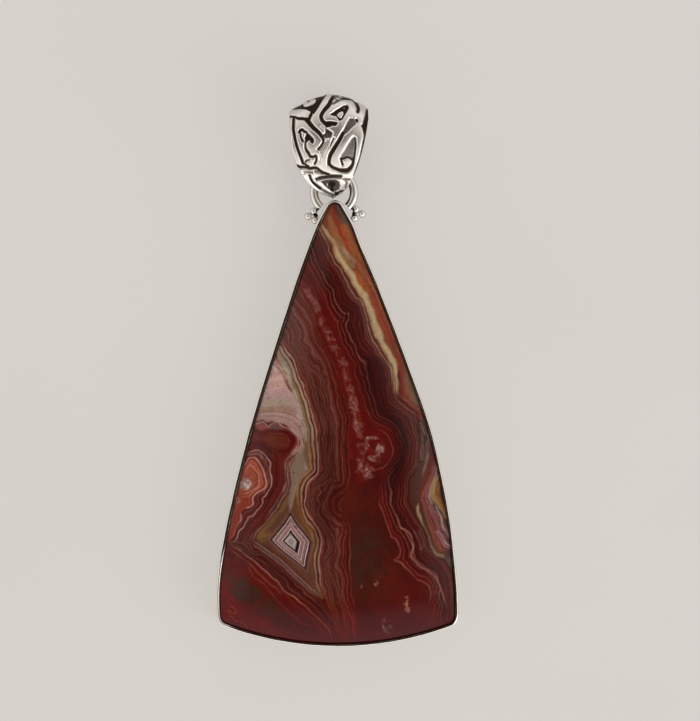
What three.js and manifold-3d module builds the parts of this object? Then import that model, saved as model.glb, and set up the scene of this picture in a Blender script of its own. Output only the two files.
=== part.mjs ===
// A crazy lace agate pendant, lying on its back.
// A tall triangular cabochon sits in a thin silver bezel on a silver back plate. A thick round-wire loop
// straddles the bezel's apex, with three granules on each side, and a domed silver bail with scroll bands
// hangs loose on the loop and swings about it.
//
// Millimetres. +X across the pendant, +Y towards the bail, +Z out of the stone's face.
// The origin is the middle of the whole pendant's outline, on the surface that it lies on.
import * as THREE from 'three';
import { mergeVertices } from 'three/addons/utils/BufferGeometryUtils.js';
import Module from 'manifold-3d';

const wasm = await Module();
wasm.setup();

// The bezel's outer outline, seen from the front. Each side is a smooth curve through its points.
const LEFT_SIDE = [
  [-1.46, 20.68], [-2.78, 18.17], [-3.89, 15.3], [-5.44, 10.8], [-7.39, 4.8], [-9.3, -1.2],
  [-11.08, -7.2], [-12.63, -13.2], [-13.99, -19.2], [-14.8, -23.7], [-15.16, -27.45], [-15.14, -30.2],
];
const RIGHT_SIDE = [
  [0.73, 20.68], [2.11, 18.17], [3.2, 15.3], [5.08, 10.8], [7.42, 4.8], [9.65, -1.2],
  [11.71, -7.2], [13.14, -13.2], [14.22, -19.2], [14.73, -23.7], [15.06, -27.45], [15.14, -30.2],
];
const APEX_PULL_LEFT = [-0.95, 21.5];
const APEX_PULL_RIGHT = [0.25, 21.5];
const BOTTOM_ARC_CENTRE = [0.06, 6.1];
const BOTTOM_ARC_RADIUS = 40.7;
const BOTTOM_ARC_HALF_WIDTH = 14.25;
const CORNER_LEFT = [-15.12, -31.65];
const CORNER_RIGHT = [15.16, -31.6];
const SIDE_STEPS = 22;
const APEX_STEPS = 6;
const CORNER_STEPS = 4;
const BOTTOM_STEPS = 12;

const PLATE_THICKNESS = 0.6;
const SEAT_GAP = 0.04;

const BEZEL_HEIGHT = 4.4;
const BEZEL_WALL = 0.32;
const LIP_REACH = 0.44;

const STONE_INSET = 0.36;
const GIRDLE_TOP = 3.75;
const DOME_HEIGHT = 1.35;
const DOME_WIDTH = 6.5;
const STONE_RINGS = [0, 0.04, 0.11, 0.24, 0.44, 0.7];
const STONE_SPINE_TOP = new THREE.Vector2(-0.3, 15.5);
const STONE_SPINE_BOTTOM = new THREE.Vector2(0, -23.5);

const LOOP_CENTRE = new THREE.Vector2(-0.44, 22.3);
const LOOP_RADIUS = 2.5;
const WIRE_RADIUS = 0.56;
const LOOP_BEZEL_GAP = 0.05;

const GRANULE_RADIUS = 0.48;
const GRANULES = {
  granule_left_outer: [-3.7, 19.3],
  granule_left_upper: [-2.98, 19.95],
  granule_left_lower: [-2.83, 18.81],
  granule_right_outer: [3.06, 19.6],
  granule_right_upper: [2.3, 20.19],
  granule_right_lower: [2.14, 19.1],
};

// The bail is an oval band around the wearer's chain. Lengths are along its own axis from the hinge, which
// lies midway in the play between the wire and the inside of the bail's tip.
const HINGE = new THREE.Vector2(-0.56, 23.55);
const BAIL_CENTRE = 4.63;
const BAIL_HALF_LENGTH = 6.43;
const BAIL_HALF_DEPTH = 3.7;
const BAIL_WALL = 0.65;
const BAIL_TIP_WALL = 0.95;
const BAIL_TILT = THREE.MathUtils.degToRad(16);
const BAIL_LEAN = THREE.MathUtils.degToRad(2);
const CROWN_TOP = 2.1;
const CROWN_FACE = 0.3;
const CROWN_TIP = 0.15;
const WIDEST_AT = 7.75;
const TIP_AT = -1.81;
const LEFT_WIDTH = { half: 5.1, power: 3, root: 0.57 };
const RIGHT_WIDTH = { half: 4.68, power: 1.2, root: 0.45 };
const TIP_HALF_WIDTH = 0.42;
const BAIL_ROUND_STEPS = 48;
const BAIL_ACROSS_STEPS = 8;
const RELIEF = 0.3;
const RELIEF_ROOT = 0.28;

// Scroll bands as seen from the front at rest: points from the hinge, x to the right and y up, with the
// band's half width.
const SCROLLS = {
  long_curl: {
    half: 0.45,
    points: [
      [0.5, 7.5], [-0.25, 7.55], [-0.8, 8.0], [-0.6, 8.6], [0, 9.05], [0.8, 9.45], [1.65, 9.65], [2.3, 9.5],
      [2.55, 8.9], [2.15, 8.1], [1.4, 7.2], [0.75, 6.2], [0.25, 5.25], [-0.4, 4.1], [-1.05, 2.9], [-1.6, 1.85],
    ],
  },
  lower_sweep: { half: 0.34, points: [[-1.65, 1.75], [-0.65, 1.3], [0.4, 1], [1.5, 0.75], [2.5, 0.65]] },
  upper_angle: {
    half: 0.5,
    points: [[-0.45, 10.6], [-1.25, 9.5], [-1.95, 8.5], [-2.25, 7.6], [-1.95, 7], [-1.45, 6.45], [-0.9, 6]],
  },
  right_loop: {
    half: 0.42,
    points: [
      [1.4, 1.75], [0.65, 2], [0.2, 2.5], [0.5, 3.25], [1, 4.2], [1.65, 5.15], [2.4, 5.95], [3.05, 6.35],
      [3.45, 5.9], [3.4, 4.6], [3.1, 3.2], [2.8, 1.75],
    ],
  },
  left_loop: {
    half: 0.38,
    points: [
      [-2.6, 3.95], [-2, 4.25], [-1.85, 4.9], [-2.35, 5.5], [-3, 6.05], [-3.65, 6.65], [-4.2, 6.95],
      [-4.5, 6.45], [-4.4, 5.5], [-4.05, 4.25], [-3.6, 3], [-3, 2.35], [-2.15, 2.15],
    ],
  },
  left_shoulder: { half: 0.42, points: [[-5, 8.4], [-4.25, 8.4], [-2.9, 8.25]] },
  top_leaf: { half: 0.4, points: [[-3.75, 9.4], [-3, 9.65], [-2.3, 9.95]] },
  right_shoulder: { half: 0.36, points: [[3.3, 9.5], [3.8, 8.75], [3.65, 7.8], [3.15, 7.2]] },
  left_rim: { half: 0.26, points: [[-5.15, 7.5], [-5.1, 5.9], [-4.75, 3.4], [-4.15, 1.9]] },
  cross_band: { half: 0.3, points: [[-4.1, 1.5], [-2.25, 1.2], [-1, 0.8]] },
  left_of_tip: { half: 0.28, points: [[-2.75, 0.3], [-2, -0.45], [-0.9, -1.15]] },
  right_of_tip: { half: 0.26, points: [[2.1, 0.1], [1.4, -0.6], [0.65, -1.05]] },
};
const SCROLL_BEADS = [
  { at: [0.88, 8.05], radius: 0.48 },
  { at: [1.75, 2.35], radius: 0.6 },
  { at: [-2.95, 4.4], radius: 0.5 },
];
const SCROLL_STEP = 0.9;
const SMOOTHING = 0.05;

const SILVER = { color: 0xd8d5cf, roughness: 0.22, metalness: 1 };
const DULL_SILVER = { color: 0xbdb9b2, roughness: 0.4, metalness: 1 };
const AGATE = { color: 0x5a1b16, roughness: 0.12, metalness: 0 };

// Closed solids from rings of points: `around` joins the last ring to the first, otherwise the ends are capped.
function loft(rings, around = false) {
  const count = rings[0].length;
  const positions = rings.flat().flatMap((p) => [p.x, p.y, p.z]);
  const index = [];
  const spans = around ? rings.length : rings.length - 1;
  for (let r = 0; r < spans; r++) {
    const low = r * count;
    const high = ((r + 1) % rings.length) * count;
    for (let i = 0; i < count; i++) {
      const next = (i + 1) % count;
      index.push(low + i, low + next, high + next, low + i, high + next, high + i);
    }
  }
  if (!around) {
    const cap = (ring, offset, flip) => {
      const origin = ring[0];
      const normal = new THREE.Vector3();
      ring.forEach((p, i) => normal.add(p.clone().sub(origin).cross(ring[(i + 1) % count].clone().sub(origin))));
      const side = ring[1].clone().sub(origin).normalize();
      const up = normal.normalize().clone().cross(side);
      const flat = ring.map((p) => new THREE.Vector2(p.clone().sub(origin).dot(side), p.clone().sub(origin).dot(up)));
      for (const [a, b, c] of THREE.ShapeUtils.triangulateShape(flat, [])) {
        index.push(...(flip ? [offset + a, offset + c, offset + b] : [offset + a, offset + b, offset + c]));
      }
    };
    cap(rings[0], 0, true);
    cap(rings.at(-1), (rings.length - 1) * count, false);
  }
  const geometry = new THREE.BufferGeometry();
  geometry.setAttribute('position', new THREE.Float32BufferAttribute(positions, 3));
  geometry.setIndex(index);
  return geometry;
}

function solidOf(geometry) {
  const bare = geometry.clone();
  bare.deleteAttribute('normal');
  bare.deleteAttribute('uv');
  const merged = mergeVertices(bare, 1e-4);
  return new wasm.Manifold(new wasm.Mesh({
    numProp: 3,
    vertProperties: new Float32Array(merged.attributes.position.array),
    triVerts: new Uint32Array(merged.index.array),
  }));
}

function geometryOf(solid) {
  const mesh = solid.getMesh();
  const geometry = new THREE.BufferGeometry();
  geometry.setAttribute('position', new THREE.BufferAttribute(new Float32Array(mesh.vertProperties), 3));
  geometry.setIndex(new THREE.BufferAttribute(new Uint32Array(mesh.triVerts), 1));
  return geometry;
}

function named(name, geometry, finish) {
  const mesh = new THREE.Mesh(geometry, new THREE.MeshStandardMaterial(finish));
  mesh.name = name;
  return mesh;
}

const vector = ([x, y]) => new THREE.Vector2(x, y);

// The outer outline as one loop, counter-clockwise seen from the front, starting at the apex's left shoulder.
function bezelOutline() {
  const side = (points) => new THREE.SplineCurve(points.map(vector)).getSpacedPoints(SIDE_STEPS);
  const left = side(LEFT_SIDE);
  const right = side(RIGHT_SIDE);
  const arcEnd = (sign) => {
    const x = BOTTOM_ARC_CENTRE[0] + sign * BOTTOM_ARC_HALF_WIDTH;
    const drop = Math.sqrt(BOTTOM_ARC_RADIUS ** 2 - BOTTOM_ARC_HALF_WIDTH ** 2);
    return new THREE.Vector2(x, BOTTOM_ARC_CENTRE[1] - drop);
  };
  const corner = (from, pull, to) => new THREE.QuadraticBezierCurve(from, vector(pull), to).getPoints(CORNER_STEPS);
  const halfAngle = Math.asin(BOTTOM_ARC_HALF_WIDTH / BOTTOM_ARC_RADIUS);
  const bottom = [];
  for (let i = 1; i < BOTTOM_STEPS; i++) {
    const angle = -halfAngle + (2 * halfAngle * i) / BOTTOM_STEPS;
    bottom.push(new THREE.Vector2(
      BOTTOM_ARC_CENTRE[0] + BOTTOM_ARC_RADIUS * Math.sin(angle),
      BOTTOM_ARC_CENTRE[1] - BOTTOM_ARC_RADIUS * Math.cos(angle),
    ));
  }
  const apex = new THREE.CubicBezierCurve(
    right[0], vector(APEX_PULL_RIGHT), vector(APEX_PULL_LEFT), left[0],
  ).getPoints(APEX_STEPS);
  return [
    ...left,
    ...corner(left.at(-1), CORNER_LEFT, arcEnd(-1)).slice(1),
    ...bottom,
    ...corner(arcEnd(1), CORNER_RIGHT, right.at(-1)),
    ...right.slice(0, -1).reverse(),
    ...apex.slice(1, -1),
  ];
}

const OUTLINE = bezelOutline();

// The outline moved inwards by a distance, or outwards if it is negative.
function inset(outline, distance) {
  return outline.map((p, i) => {
    const before = outline[(i + outline.length - 1) % outline.length];
    const after = outline[(i + 1) % outline.length];
    const along = after.clone().sub(before).normalize();
    return new THREE.Vector2(p.x - along.y * distance, p.y + along.x * distance);
  });
}

const atHeight = (outline, z) => outline.map((p) => new THREE.Vector3(p.x, p.y, z));

function distanceToOutline(outline, point) {
  let nearest = Infinity;
  outline.forEach((a, i) => {
    const b = outline[(i + 1) % outline.length];
    const span = b.clone().sub(a);
    const share = THREE.MathUtils.clamp(point.clone().sub(a).dot(span) / span.lengthSq(), 0, 1);
    nearest = Math.min(nearest, a.clone().addScaledVector(span, share).distanceTo(point));
  });
  return nearest;
}

// The cabochon: a straight girdle inside the bezel and a low dome that flattens towards the middle.
function makeStone() {
  const edge = inset(OUTLINE, STONE_INSET);
  const spine = STONE_SPINE_BOTTOM.clone().sub(STONE_SPINE_TOP);
  const domeAt = (p) => {
    const share = Math.min(distanceToOutline(edge, p) / DOME_WIDTH, 1);
    return GIRDLE_TOP + DOME_HEIGHT * Math.sqrt(1 - (1 - share) ** 2);
  };
  const rings = STONE_RINGS.map((share) => edge.map((p) => {
    const along = THREE.MathUtils.clamp(p.clone().sub(STONE_SPINE_TOP).dot(spine) / spine.lengthSq(), 0, 1);
    const target = STONE_SPINE_TOP.clone().addScaledVector(spine, along);
    const flat = p.clone().lerp(target, share);
    return new THREE.Vector3(flat.x, flat.y, share ? domeAt(flat) : GIRDLE_TOP);
  }));
  return named('stone', loft([atHeight(edge, PLATE_THICKNESS + SEAT_GAP), ...rings]), AGATE);
}

function makeBackPlate() {
  return named('back_plate', loft([atHeight(OUTLINE, 0), atHeight(OUTLINE, PLATE_THICKNESS)]), DULL_SILVER);
}

// The bezel: a thin wall on the plate, its top edge rubbed over the stone as a rounded lip.
function makeBezel() {
  const foot = PLATE_THICKNESS + SEAT_GAP;
  const section = [
    [0, foot], [0, BEZEL_HEIGHT - 0.3], [0.07, BEZEL_HEIGHT - 0.07], [0.2, BEZEL_HEIGHT],
    [LIP_REACH - 0.08, BEZEL_HEIGHT - 0.05], [LIP_REACH, BEZEL_HEIGHT - 0.16],
    [BEZEL_WALL, BEZEL_HEIGHT - 0.4], [BEZEL_WALL, foot],
  ];
  const rings = section.map(([distance, z]) => atHeight(inset(OUTLINE, distance), z));
  return named('bezel', loft(rings, true), SILVER);
}

// The wire loop, cut off where its ends meet the bezel's two sides.
function makeHangingLoop(height) {
  const ring = new THREE.TorusGeometry(LOOP_RADIUS, WIRE_RADIUS, 10, 32);
  ring.translate(LOOP_CENTRE.x, LOOP_CENTRE.y, height);
  const outer = inset(OUTLINE, -LOOP_BEZEL_GAP);
  const pendant = solidOf(loft([atHeight(outer, -1), atHeight(outer, BEZEL_HEIGHT + 1)]));
  const granules = Object.values(GRANULES).map(([x, y]) => {
    const ball = new THREE.SphereGeometry(GRANULE_RADIUS + SEAT_GAP, 16, 12);
    ball.translate(x, y, height);
    return solidOf(ball);
  });
  const whole = granules.reduce((wire, ball) => wire.subtract(ball), solidOf(ring).subtract(pendant));
  const pieces = whole.decompose().sort((a, b) => b.volume() - a.volume());
  return named('hanging_loop', geometryOf(pieces[0]), SILVER);
}

function makeGranule(name, [x, y], height) {
  const ball = new THREE.SphereGeometry(GRANULE_RADIUS, 10, 6);
  ball.translate(x, y, height);
  const outer = inset(OUTLINE, -SEAT_GAP);
  const pendant = solidOf(loft([atHeight(outer, -1), atHeight(outer, BEZEL_HEIGHT + 1)]));
  return named(name, geometryOf(solidOf(ball).subtract(pendant)), SILVER);
}

// How high a front-view point of the bail is, in the rest view, from the hinge.
const viewHeight = (along, depth) => along * Math.cos(BAIL_TILT) - Math.abs(depth) * Math.sin(BAIL_TILT);

function halfWidthAt(height, { half, power, root }) {
  const share = THREE.MathUtils.clamp((WIDEST_AT - height) / (WIDEST_AT - TIP_AT), 0, 1);
  return Math.max(half * (1 - share ** power) ** root, TIP_HALF_WIDTH);
}

// A point of the bail's outer face in its own frame (x across, y along, z out of the front).
// `round` goes from 0 at the top over the front to pi at the tip, and on over the back.
function bailPoint(round, across, lift = 0) {
  const along = BAIL_CENTRE + BAIL_HALF_LENGTH * Math.cos(round);
  const depth = BAIL_HALF_DEPTH * Math.sin(round);
  const normal = new THREE.Vector2(Math.cos(round) / BAIL_HALF_LENGTH, Math.sin(round) / BAIL_HALF_DEPTH).normalize();
  const height = viewHeight(along, depth);
  const half = halfWidthAt(height, across < 0 ? LEFT_WIDTH : RIGHT_WIDTH);
  const crown = CROWN_FACE * Math.sin(round) ** 2
    + (Math.cos(round) > 0 ? CROWN_TOP : CROWN_TIP) * Math.cos(round) ** 2;
  const out = lift - crown * across ** 2;
  return new THREE.Vector3(half * across, along + normal.x * out, depth + normal.y * out);
}

function bailShell() {
  const rings = [];
  for (let i = 0; i < BAIL_ROUND_STEPS; i++) {
    const round = (2 * Math.PI * i) / BAIL_ROUND_STEPS;
    const tip = Math.max(-Math.cos(round), 0) ** 4;
    const wall = THREE.MathUtils.lerp(BAIL_WALL, BAIL_TIP_WALL, tip);
    const ring = [];
    for (let j = 0; j <= BAIL_ACROSS_STEPS; j++) ring.push(bailPoint(round, (2 * j) / BAIL_ACROSS_STEPS - 1));
    for (let j = BAIL_ACROSS_STEPS; j >= 0; j -= 3) ring.push(bailPoint(round, (2 * j) / BAIL_ACROSS_STEPS - 1, -wall));
    rings.push(ring);
  }
  return solidOf(loft(rings.reverse(), true));
}

// Where a front-view point lies on the bail: its angle round the oval and its share of the half width.
function onBail(point) {
  const { x, y } = vector(point).rotateAround(new THREE.Vector2(), -BAIL_LEAN);
  const acrossAt = (round) => {
    const height = viewHeight(
      BAIL_CENTRE + BAIL_HALF_LENGTH * Math.cos(round), BAIL_HALF_DEPTH * Math.sin(round),
    );
    return THREE.MathUtils.clamp(x / halfWidthAt(height, x < 0 ? LEFT_WIDTH : RIGHT_WIDTH), -1, 1);
  };
  let low = 0;
  let high = Math.PI;
  for (let i = 0; i < 40; i++) {
    const round = (low + high) / 2;
    const p = bailPoint(round, acrossAt(round));
    if (viewHeight(p.y, p.z) > y) low = round;
    else high = round;
  }
  return { round: low, across: acrossAt(low) };
}

function surfaceNormal(round, across) {
  const step = 0.01;
  const a = bailPoint(round + step, across).sub(bailPoint(round - step, across));
  const side = Math.min(across + step, 1);
  const b = bailPoint(round, side).sub(bailPoint(round, side - 2 * step));
  return b.cross(a).negate().normalize();
}

// One raised band: a low ribbon with sloping sides, sunk a little into the shell.
function scrollBand({ points, half }) {
  const curve = new THREE.SplineCurve(points.map(vector));
  const stations = curve.getSpacedPoints(Math.ceil(curve.getLength() / SCROLL_STEP)).map((p) => {
    const place = onBail([p.x, p.y]);
    return { point: bailPoint(place.round, place.across), normal: surfaceNormal(place.round, place.across) };
  });
  const rings = stations.map(({ point, normal }, i) => {
    const before = stations[Math.max(i - 1, 0)].point;
    const after = stations[Math.min(i + 1, stations.length - 1)].point;
    const side = after.clone().sub(before).normalize().cross(normal).normalize();
    const corner = (sideways, up) => point.clone().addScaledVector(side, sideways).addScaledVector(normal, up);
    return [
      corner(-half, -RELIEF_ROOT), corner(half, -RELIEF_ROOT), corner(half, RELIEF * 0.55),
      corner(half * 0.55, RELIEF), corner(-half * 0.55, RELIEF), corner(-half, RELIEF * 0.55),
    ];
  });
  const band = solidOf(loft(rings));
  return band.volume() < 0 ? solidOf(loft(rings.reverse())) : band;
}

function scrollBead({ at, radius }) {
  const { round, across } = onBail(at);
  const bead = new THREE.SphereGeometry(radius, 8, 6);
  bead.scale(1, 1, (RELIEF + 0.1) / radius);
  const facing = new THREE.Quaternion().setFromUnitVectors(new THREE.Vector3(0, 0, 1), surfaceNormal(round, across));
  bead.applyQuaternion(facing);
  const centre = bailPoint(round, across);
  bead.translate(centre.x, centre.y, centre.z);
  return solidOf(bead);
}

// The back carries the same bands as the front, so a worn pendant can turn over.
function makeBail() {
  const front = [...Object.values(SCROLLS).map(scrollBand), ...SCROLL_BEADS.map(scrollBead)];
  const back = front.map((band) => band.mirror([0, 0, 1]));
  const whole = [...front, ...back].reduce((bail, band) => bail.add(band), bailShell());
  return named('bail', geometryOf(whole.simplify(SMOOTHING)), SILVER);
}

// The hinge's height: the bail lies tilted, with the lowest point of its back on the surface.
function hingeHeight(bail) {
  const turned = bail.geometry.clone().rotateX(BAIL_TILT);
  turned.computeBoundingBox();
  return -turned.boundingBox.min.z;
}

const bail = makeBail();
const height = hingeHeight(bail);
bail.rotation.order = 'ZXY';
bail.rotation.set(BAIL_TILT, 0, BAIL_LEAN);
bail.position.set(HINGE.x, HINGE.y, height);

const pendant = new THREE.Group();
pendant.add(makeStone(), makeBezel(), makeBackPlate(), makeHangingLoop(height));
for (const [name, place] of Object.entries(GRANULES)) pendant.add(makeGranule(name, place, height));
pendant.add(bail);

export default pendant;
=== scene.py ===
# %% [markdown]
# # A crazy lace agate pendant
#
# A tall triangular cabochon of banded agate sits in a thin silver bezel. A wire loop and six granules are
# soldered at its apex, and a wide cast bail with oxidised scrolls hangs from the loop.
# The CAD model gives every size and place. This lesson dresses it: the stone gets its lace, the silver its
# polish, and the bail its crisp scrolls. The CAD solids come in first and stay where they are.

import math

import bpy
import numpy as np
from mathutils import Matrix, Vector


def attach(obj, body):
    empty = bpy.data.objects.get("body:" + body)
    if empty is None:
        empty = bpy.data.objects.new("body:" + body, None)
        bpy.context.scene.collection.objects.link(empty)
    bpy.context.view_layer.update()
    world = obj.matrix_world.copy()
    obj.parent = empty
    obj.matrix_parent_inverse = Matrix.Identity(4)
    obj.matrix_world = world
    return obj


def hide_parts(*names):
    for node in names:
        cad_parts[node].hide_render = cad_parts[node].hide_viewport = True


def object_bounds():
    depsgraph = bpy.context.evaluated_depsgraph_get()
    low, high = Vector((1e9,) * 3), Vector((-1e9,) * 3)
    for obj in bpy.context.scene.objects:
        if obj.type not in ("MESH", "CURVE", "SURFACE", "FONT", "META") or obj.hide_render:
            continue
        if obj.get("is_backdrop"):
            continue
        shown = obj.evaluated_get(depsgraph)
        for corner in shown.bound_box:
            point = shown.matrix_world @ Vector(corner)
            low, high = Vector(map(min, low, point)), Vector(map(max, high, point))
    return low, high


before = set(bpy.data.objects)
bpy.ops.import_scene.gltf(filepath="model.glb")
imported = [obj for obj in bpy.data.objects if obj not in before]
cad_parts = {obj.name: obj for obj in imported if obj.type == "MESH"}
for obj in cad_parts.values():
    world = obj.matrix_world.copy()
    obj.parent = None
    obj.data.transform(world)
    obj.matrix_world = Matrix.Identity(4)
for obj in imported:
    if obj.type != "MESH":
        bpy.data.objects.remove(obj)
cad_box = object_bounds()
scene = bpy.context.scene
MM = 0.001

# %% [markdown]
# ## One view for everything
#
# The photograph looks straight down, and one millimetre of the pendant is eight of its pixels. So every
# point that was read off it can be written as a pixel, and these few numbers turn it into millimetres.
# The camera gets the same frame, from far enough away that the bail doesn't look swollen.

# %% The photograph's frame and the camera
PIXELS_PER_MM = 8.0
FRAME_PIXELS = (700, 721)
ORIGIN_PIXEL = (337.5, 370.4)
CAMERA_HEIGHT = 400 * MM
FOCUS_HEIGHT = 4 * MM
SENSOR = 36.0


def to_mm(pixels):
    """Pixels of the photograph as millimetres of the pendant, y up."""
    p = np.asarray(pixels, float)
    return (p - ORIGIN_PIXEL) / PIXELS_PER_MM * (1, -1)


def to_pixels(mm):
    """Millimetres of the pendant as pixels of the photograph, y down."""
    return np.asarray(mm, float) * (1, -1) * PIXELS_PER_MM + ORIGIN_PIXEL


frame_width = FRAME_PIXELS[0] / PIXELS_PER_MM * MM
middle = to_mm([FRAME_PIXELS[0] / 2, FRAME_PIXELS[1] / 2]) * MM
camera = bpy.data.objects.new("camera", bpy.data.cameras.new("camera"))
scene.collection.objects.link(camera)
camera.location = (middle[0], middle[1], CAMERA_HEIGHT)
camera.data.sensor_fit = "HORIZONTAL"
camera.data.sensor_width = SENSOR
camera.data.lens = SENSOR * (CAMERA_HEIGHT - FOCUS_HEIGHT) / frame_width
camera.data.clip_start = 10 * MM
scene.camera = camera
scene.view_settings.view_transform = "Standard"
print("lens mm", round(camera.data.lens, 1))

# %% [markdown]
# ## Floor and light
#
# A plain pale sheet of opal acrylic stands in for the table, and plain soft studio light for the
# photographer's lamps. The sheet also glows of its own: painted light that keeps the pendant's shadow on
# it faint.
# Silver shows nothing but what surrounds it, so the surroundings are made with care: a small dark spot
# overhead, where the camera itself would be, bright low down, where rounded edges look, and brighter on the
# near side than on the far one, because the bail's crown leans away and is the greyest part of it.

# %% Helpers for colours and nodes
def tint(code):
    """An sRGB hex colour as three numbers, which can be mixed by eye before `linear` turns the sum."""
    return np.array([int(code[i:i + 2], 16) / 255 for i in (1, 3, 5)])


def linear(colour):
    """An sRGB hex colour, or a table of sRGB colours, as the linear colour that a shader works in."""
    c = tint(colour) if isinstance(colour, str) else np.clip(colour, 0, 1)
    return np.where(c <= 0.04045, c / 12.92, ((c + 0.055) / 1.055) ** 2.4)


def add(tree, kind, inputs=None, **settings):
    """One node. `inputs` gives sockets a value, a hex colour or another node's output."""
    node = tree.nodes.new(kind)
    for name, value in settings.items():
        setattr(node, name, value)
    for socket, value in (inputs or {}).items():
        if isinstance(value, bpy.types.NodeSocket):
            tree.links.new(value, node.inputs[socket])
        elif isinstance(value, str) and value.startswith("#"):
            node.inputs[socket].default_value = (*linear(value), 1)
        else:
            node.inputs[socket].default_value = value
    return node


def noise(tree, place, size, detail, roughness=0.5):
    """Noise from 0 to 1, its lumps `size` metres apart."""
    return add(tree, "ShaderNodeTexNoise", {"Vector": place, "Scale": 1 / size, "Detail": detail,
                                            "Roughness": roughness}).outputs["Fac"]


def remap(tree, value, start, end, low=0.0, high=1.0, **settings):
    """What goes from start to end as a run from low to high, level outside it."""
    return add(tree, "ShaderNodeMapRange", {"Value": value, "From Min": start, "From Max": end,
                                            "To Min": low, "To Max": high}, **settings).outputs[0]


def maths(tree, operation, first, second, **settings):
    """One sum of two values."""
    return add(tree, "ShaderNodeMath", {0: first, 1: second}, operation=operation, **settings).outputs[0]


def blend(tree, share, first, second):
    """The first colour, which gives way to the second as share grows."""
    return add(tree, "ShaderNodeMix", {0: share, 6: first, 7: second}, data_type="RGBA").outputs[2]


def new_material(name):
    """An empty material, its tree, and the place on the piece for its patterns."""
    material = bpy.data.materials.new(name)
    material.use_nodes = True
    tree = material.node_tree
    tree.nodes.clear()
    return material, tree, add(tree, "ShaderNodeTexCoord").outputs["Object"]


def skin_of(tree, inputs):
    """The shader of a material, joined to its output."""
    skin = add(tree, "ShaderNodeBsdfPrincipled", inputs)
    add(tree, "ShaderNodeOutputMaterial", {"Surface": skin.outputs[0]})


def mesh_of(name, points, faces, material=None):
    """A smooth piece from points in millimetres and faces, with its place in its mesh."""
    mesh = bpy.data.meshes.new(name)
    mesh.from_pydata((np.asarray(points, float) * MM).tolist(), [], [list(map(int, f)) for f in faces])
    mesh.validate()
    piece = bpy.data.objects.new(name, mesh)
    scene.collection.objects.link(piece)
    mesh.polygons.foreach_set("use_smooth", [True] * len(mesh.polygons))
    if material:
        mesh.materials.append(material)
    return piece

# %% The floor
FLOOR_HALF, FLOOR_HEIGHT = 900.0, -0.02
CLOUD_SIZE = 1 / 18
# The floor's glow is painted light: it lifts the pendant's shadow on the floor.
GLOW = 0.66
paper, tree, place = new_material("opal_acrylic_sheet")
cloud = noise(tree, place, CLOUD_SIZE, 4.0)
skin_of(tree, {"Base Color": blend(tree, cloud, "#7a7672", "#85817d"), "Roughness": 0.85,
               "Emission Color": "#d6d1cd", "Emission Strength": GLOW})
corners = [(x * FLOOR_HALF, y * FLOOR_HALF, FLOOR_HEIGHT) for x, y in ((-1, -1), (1, -1), (1, 1), (-1, 1))]
floor = mesh_of("floor", corners, [(0, 1, 2, 3)], paper)
floor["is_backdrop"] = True
print("floor mm", 2 * FLOOR_HALF)

# %% The light
# The sky from the horizon up to the zenith: (height, brightness, colour)
SKY = [(0.0, 1.0, "#faf9f7"), (0.28, 1.45, "#fcfbf9"), (0.5, 1.3, "#faf8f5"), (0.78, 0.98, "#f7f3ef"),
       (0.925, 0.78, "#f5efe9"), (0.975, 0.24, "#f2e9e2")]
NEAR_SIDE, FAR_SIDE, TURN_OVER = 1.16, 0.72, 0.9
LEFT_SIDE_LIGHT, RIGHT_SIDE_LIGHT = 1.0, 1.08
BOX_PLACE, BOX_SIZE, BOX_WATTS = (520, -300, 300), 420, 1.1

world = bpy.data.worlds.new("studio")
scene.world = world
world.use_nodes = True
tree = world.node_tree
tree.nodes.clear()
place = add(tree, "ShaderNodeTexCoord").outputs["Generated"]
split = add(tree, "ShaderNodeSeparateXYZ", {0: place}).outputs
sky = add(tree, "ShaderNodeValToRGB", {0: split["Z"]})
brightest = max(level for _, level, _ in SKY)
ramp = sky.color_ramp.elements
while len(ramp) < len(SKY):
    ramp.new(0.5)
for element, (at, level, code) in zip(ramp, SKY):
    element.position, element.color = at, (*linear(code) * level / brightest, 1)
from_near = remap(tree, split["Y"], -TURN_OVER, TURN_OVER, NEAR_SIDE, FAR_SIDE)
from_right = remap(tree, split["X"], -1.0, 1.0, LEFT_SIDE_LIGHT, RIGHT_SIDE_LIGHT)
strength = maths(tree, "MULTIPLY", maths(tree, "MULTIPLY", from_near, from_right), brightest)
light = add(tree, "ShaderNodeBackground", {"Color": sky.outputs[0], "Strength": strength})
add(tree, "ShaderNodeOutputWorld", {"Surface": light.outputs[0]})

soft_box = bpy.data.objects.new("right_box", bpy.data.lights.new("right_box", "AREA"))
scene.collection.objects.link(soft_box)
soft_box.data.size, soft_box.data.energy = BOX_SIZE * MM, BOX_WATTS
soft_box.location = Vector(BOX_PLACE) * MM
soft_box.rotation_euler = (-Vector(BOX_PLACE)).to_track_quat("-Z", "Y").to_euler()
print("sky steps", len(ramp), "brightest", brightest, "soft box watts", BOX_WATTS)
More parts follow.
